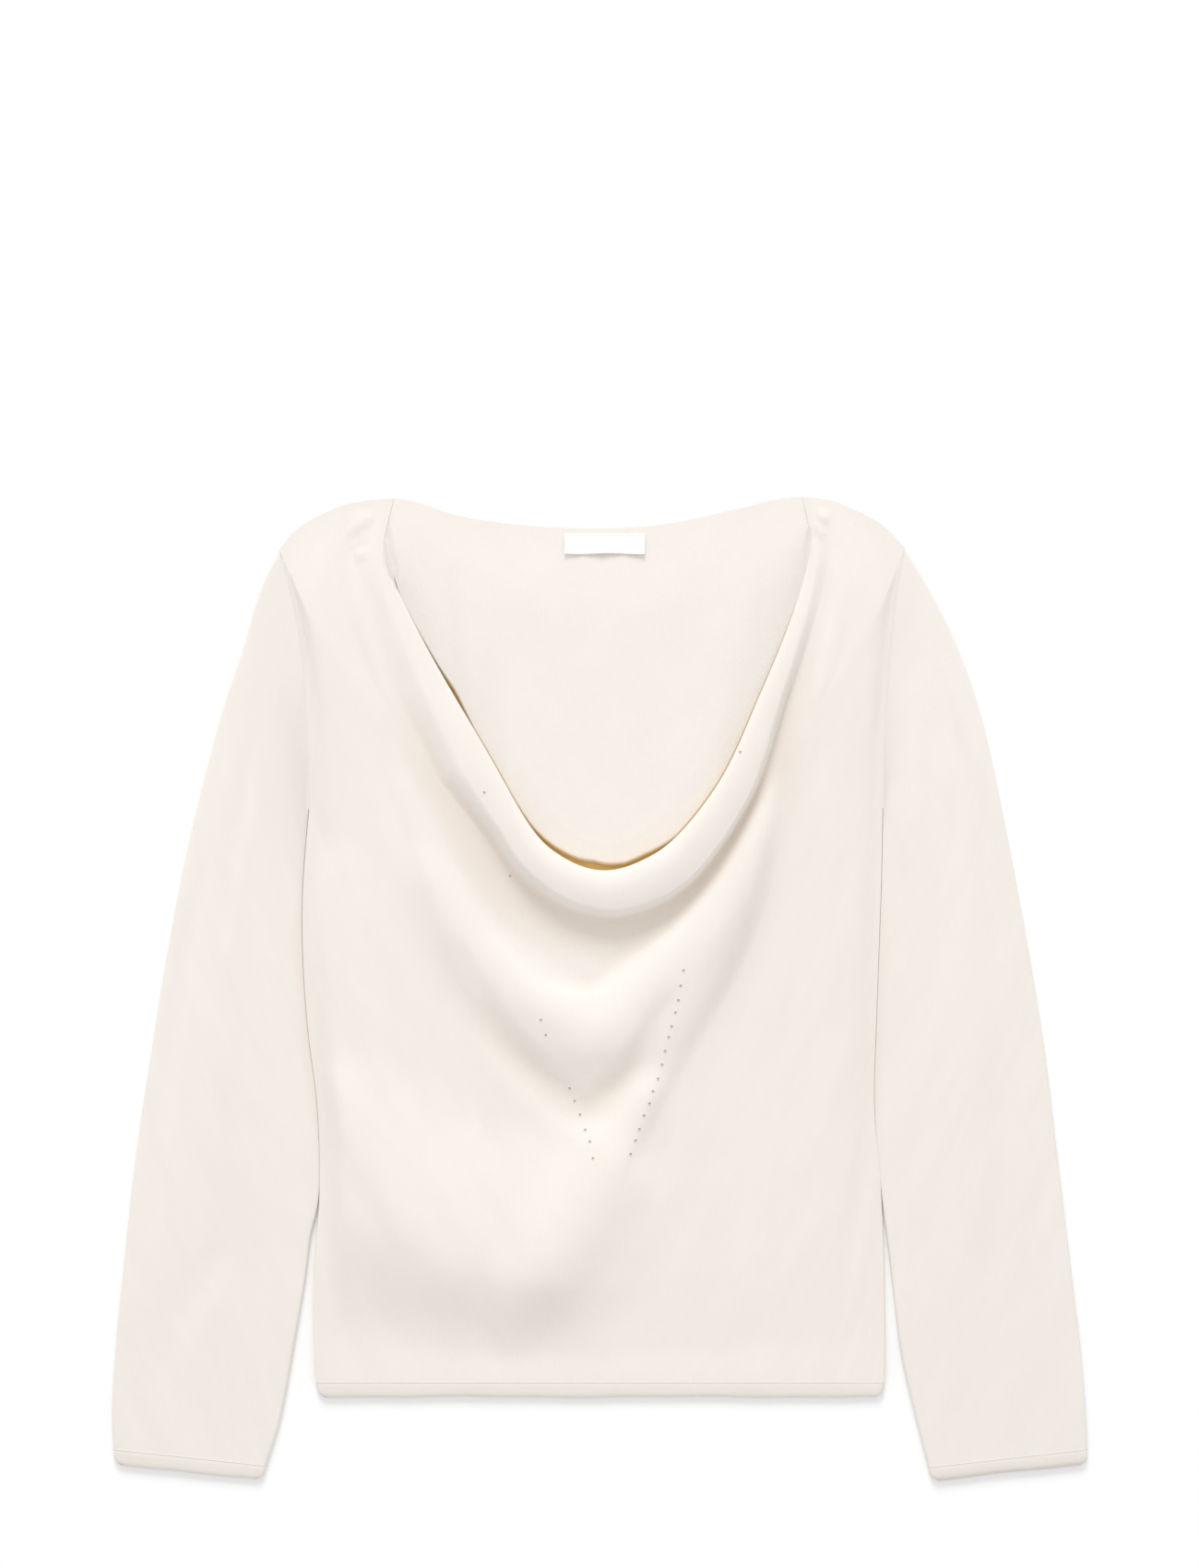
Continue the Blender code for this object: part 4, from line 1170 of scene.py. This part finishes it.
def knit_material(name, light, dark, wale, course, bump):
    """Matt jersey: two close tones, stitch relief with painted shade in its grooves, fuzz, and painted warm
    shade inside a fold and between layers.
    """
    mat = bpy.data.materials.new(name)
    mat.use_nodes = True
    tree = mat.node_tree
    shader = tree.nodes["Principled BSDF"]
    face = tree.nodes.new("ShaderNodeGroup")
    face.node_tree = KNIT_FACE
    face.inputs["Wale mm"].default_value = wale
    face.inputs["Course mm"].default_value = course
    patch = tree.nodes.new("ShaderNodeMapRange")
    patch.inputs["From Min"].default_value = 0.35
    patch.inputs["From Max"].default_value = 0.65
    tree.links.new(face.outputs["Mottle"], patch.inputs["Value"])
    ground = mix_colour(tree, patch.outputs["Result"], dark, light)
    # painted shade in the grooves between the stitches
    groove = mix_colour(tree, maths(tree, "MULTIPLY_ADD", face.outputs["Groove shade"], 0.35, 0.65),
                        tuple(0.90 * c for c in dark), ground)
    # The mark called inside paints the warm shade where two layers of the jersey close in.
    inside_mark = tree.nodes.new("ShaderNodeAttribute")
    inside_mark.attribute_name = "inside"
    # The mark called fold paints shade at the bottom of deep folds, and on the sleeves beside the body.
    fold_mark = tree.nodes.new("ShaderNodeAttribute")
    fold_mark.attribute_name = "fold"
    folded = mix_colour(tree, fold_mark.outputs["Fac"], groove, SHADE_FOLD)
    colour = mix_colour(tree, inside_mark.outputs["Fac"], folded, SHADE_INSIDE)
    tree.links.new(colour, shader.inputs["Base Color"])
    relief = tree.nodes.new("ShaderNodeBump")
    relief.inputs["Distance"].default_value = bump * MM
    relief.inputs["Strength"].default_value = 0.6
    tree.links.new(face.outputs["Height"], relief.inputs["Height"])
    tree.links.new(relief.outputs["Normal"], shader.inputs["Normal"])
    shader.inputs["Roughness"].default_value = 0.92
    shader.inputs["Specular IOR Level"].default_value = 0.25
    shader.inputs["Sheen Weight"].default_value = 0.18
    shader.inputs["Sheen Roughness"].default_value = 0.55
    shader.inputs["Sheen Tint"].default_value = (1.0, 0.97, 0.93, 1.0)
    print(name, "is ready")
    return mat


JERSEY_GAUGE = (1.5, 1.1, 0.16)  # width and height of a stitch, and the depth of its relief
BAND_GAUGE = (1.1, 1.3, 0.22)
jersey = knit_material("ivory_jersey", (0.880, 0.828, 0.778), (0.862, 0.806, 0.750), *JERSEY_GAUGE)
# The sleeves' jersey is a little darker than the body's: painted shade.
sleeve_jersey = knit_material("ivory_jersey_of_sleeves", (0.872, 0.824, 0.774), (0.854, 0.802, 0.746),
                              *JERSEY_GAUGE)
band_knit = knit_material("ivory_band_knit", (0.876, 0.824, 0.774), (0.856, 0.800, 0.744), *BAND_GAUGE)

# %% [markdown]
# The label is a woven satin: long floats of thread make it smoother and brighter across its length.
# The yarn of the seams is the garment's own, and the eyelet's hole is only a deep shade.

# %% Label, yarn and hole
def satin_material():
    """White satin with fine floats of thread across it."""
    mat = bpy.data.materials.new("white_label_satin")
    mat.use_nodes = True
    tree = mat.node_tree
    shader = tree.nodes["Principled BSDF"]
    place = tree.nodes.new("ShaderNodeUVMap")
    place.uv_map = "cloth"
    floats = tree.nodes.new("ShaderNodeTexWave")
    floats.bands_direction = "Y"
    floats.inputs["Scale"].default_value = 700
    floats.inputs["Distortion"].default_value = 0.6
    tree.links.new(place.outputs["UV"], floats.inputs["Vector"])
    colour = mix_colour(tree, floats.outputs["Fac"], (0.90, 0.90, 0.92), (0.97, 0.97, 0.98))
    tree.links.new(colour, shader.inputs["Base Color"])
    relief = tree.nodes.new("ShaderNodeBump")
    relief.inputs["Distance"].default_value = 0.04 * MM
    tree.links.new(floats.outputs["Fac"], relief.inputs["Height"])
    tree.links.new(relief.outputs["Normal"], shader.inputs["Normal"])
    shader.inputs["Roughness"].default_value = 0.45
    return mat


def yarn_material(name, colour, shade, roughness):
    """A twisted yarn: two tones in fine noise on the piece's own coordinates."""
    mat = bpy.data.materials.new(name)
    mat.use_nodes = True
    tree = mat.node_tree
    shader = tree.nodes["Principled BSDF"]
    place = tree.nodes.new("ShaderNodeTexCoord")
    noise = tree.nodes.new("ShaderNodeTexNoise")
    noise.inputs["Scale"].default_value = 1500
    tree.links.new(place.outputs["Object"], noise.inputs["Vector"])
    tree.links.new(mix_colour(tree, noise.outputs["Fac"], shade, colour), shader.inputs["Base Color"])
    shader.inputs["Roughness"].default_value = roughness
    return mat


satin = satin_material()
yarn = yarn_material("ivory_yarn", (0.88, 0.82, 0.76), (0.82, 0.75, 0.68), 0.9)
# The hole's dark colour is painted shade, the dark seen down through the eyelet.
hole_shade = yarn_material("eyelet_shade", (0.52, 0.46, 0.38), (0.46, 0.40, 0.33), 1.0)
print("label, yarn and hole are ready")

# %% [markdown]
# ## Each piece in its place
# A piece that stands for a solid replaces it and takes its material slot, and every piece rides on
# the one body.

# %% Materials and slots
def dress(piece, material, nodes=()):
    """Gives a piece its material and slot, and lets it ride on the one body."""
    piece.data.materials.clear()
    piece.data.materials.append(material)
    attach(piece, "root")
    if nodes:
        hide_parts(*nodes)


dress(front, jersey, ["front_panel"])
dress(back, jersey, ["back_panel"])
dress(hem, band_knit, ["hem_band"])
dress(label, satin, ["neck_label"])
for side in SIDES:
    dress(sleeves[side], sleeve_jersey, [f"sleeve_{side}"])
    dress(cuffs[side], band_knit, [f"cuff_{side}"])
    dress(seams[side], yarn)
    dress(cuff_seams[side], yarn)
dress(hem_seam, yarn)
dress(label_stitches, yarn)
dress(eyelets, yarn)
eyelets.data.materials.append(hole_shade)
faces_of_one = len(eyelets.data.polygons) // len(spots)
for face in eyelets.data.polygons:
    face.material_index = int(face.index % faces_of_one >= RING_FACES[0] * RING_FACES[1])

# %% Areas of the cloth
print("areas:", round(front_area, 3), round(back_area, 3), {s: round(sleeve_areas[s], 3) for s in SIDES})

# %% [markdown]
# ## Floor, light and camera
# The garment lies on a white surface in a bright, even room. Most of the light comes from all sides,
# so shadows stay pale. A wide low lamp beyond the neck, a little to the left, gives the folds their
# modelling.

# %% Floor
def floor_material():
    """A white matt surface with a very faint grain."""
    mat = bpy.data.materials.new("pale_floor")
    mat.use_nodes = True
    tree = mat.node_tree
    shader = tree.nodes["Principled BSDF"]
    place = tree.nodes.new("ShaderNodeTexCoord")
    grain = tree.nodes.new("ShaderNodeTexNoise")
    grain.inputs["Scale"].default_value = 4
    tree.links.new(place.outputs["Object"], grain.inputs["Vector"])
    tree.links.new(mix_colour(tree, grain.outputs["Fac"], (0.96, 0.96, 0.96), (0.98, 0.98, 0.98)),
                   shader.inputs["Base Color"])
    shader.inputs["Roughness"].default_value = 1.0
    shader.inputs["Specular IOR Level"].default_value = 0.0
    return mat


FLOOR_SIZE = 8
FLOOR_GAP = 0.0004  # below the cloth, so that the two never flicker
bpy.ops.object.select_all(action="DESELECT")
bpy.ops.mesh.primitive_plane_add(size=FLOOR_SIZE, location=(0, 0, 0))
floor = bpy.context.object
floor.name = "floor"
floor.data.transform(Matrix.Translation((0, 0, -FLOOR_GAP)))
floor.data.materials.append(floor_material())
print("the floor is", round(floor.dimensions.x, 1), "m wide")

# %% Light
AMBIENT = 0.84
LAMP_PLACE = (-0.45, 5.20, 2.65)
LAMP_SIZE = 2.0
LAMP_POWER = 182


def soft_lamp(name, place, size, power):
    """A square lamp that faces the middle of the garment."""
    lamp = bpy.data.lights.new(name, "AREA")
    lamp.size = size
    lamp.energy = power
    holder = bpy.data.objects.new(name, lamp)
    holder.location = place
    holder.rotation_euler = (-Vector(place)).to_track_quat("-Z", "Y").to_euler()
    bpy.context.scene.collection.objects.link(holder)


world = bpy.data.worlds.new("bright_room")
bpy.context.scene.world = world
world.use_nodes = True
world.node_tree.nodes["Background"].inputs["Color"].default_value = (1.0, 1.0, 1.0, 1.0)
world.node_tree.nodes["Background"].inputs["Strength"].default_value = AMBIENT
soft_lamp("window_lamp", LAMP_PLACE, LAMP_SIZE, LAMP_POWER)
bpy.context.scene.view_settings.view_transform = "Standard"
print("ambient", AMBIENT)

# %% Camera
PICTURE = (1300, 1700)  # the picture's size in pixels
PIXEL = 0.62  # millimetres a pixel at the surface
LENS = 85.0
SENSOR = 36.0
FRAME_HEIGHT = PICTURE[1] * PIXEL * MM
CAMERA_Y = 0.1386  # the middle of the frame lies above the garment's middle

lens = bpy.data.cameras.new("camera_above")
lens.lens = LENS
lens.sensor_width = SENSOR
lens.clip_end = 50
camera = bpy.data.objects.new("camera_above", lens)
camera.location = (0.0, CAMERA_Y, LENS / SENSOR * FRAME_HEIGHT)
bpy.context.scene.collection.objects.link(camera)
bpy.context.scene.camera = camera
print("the camera is", round(camera.location.z, 2), "m above the surface")
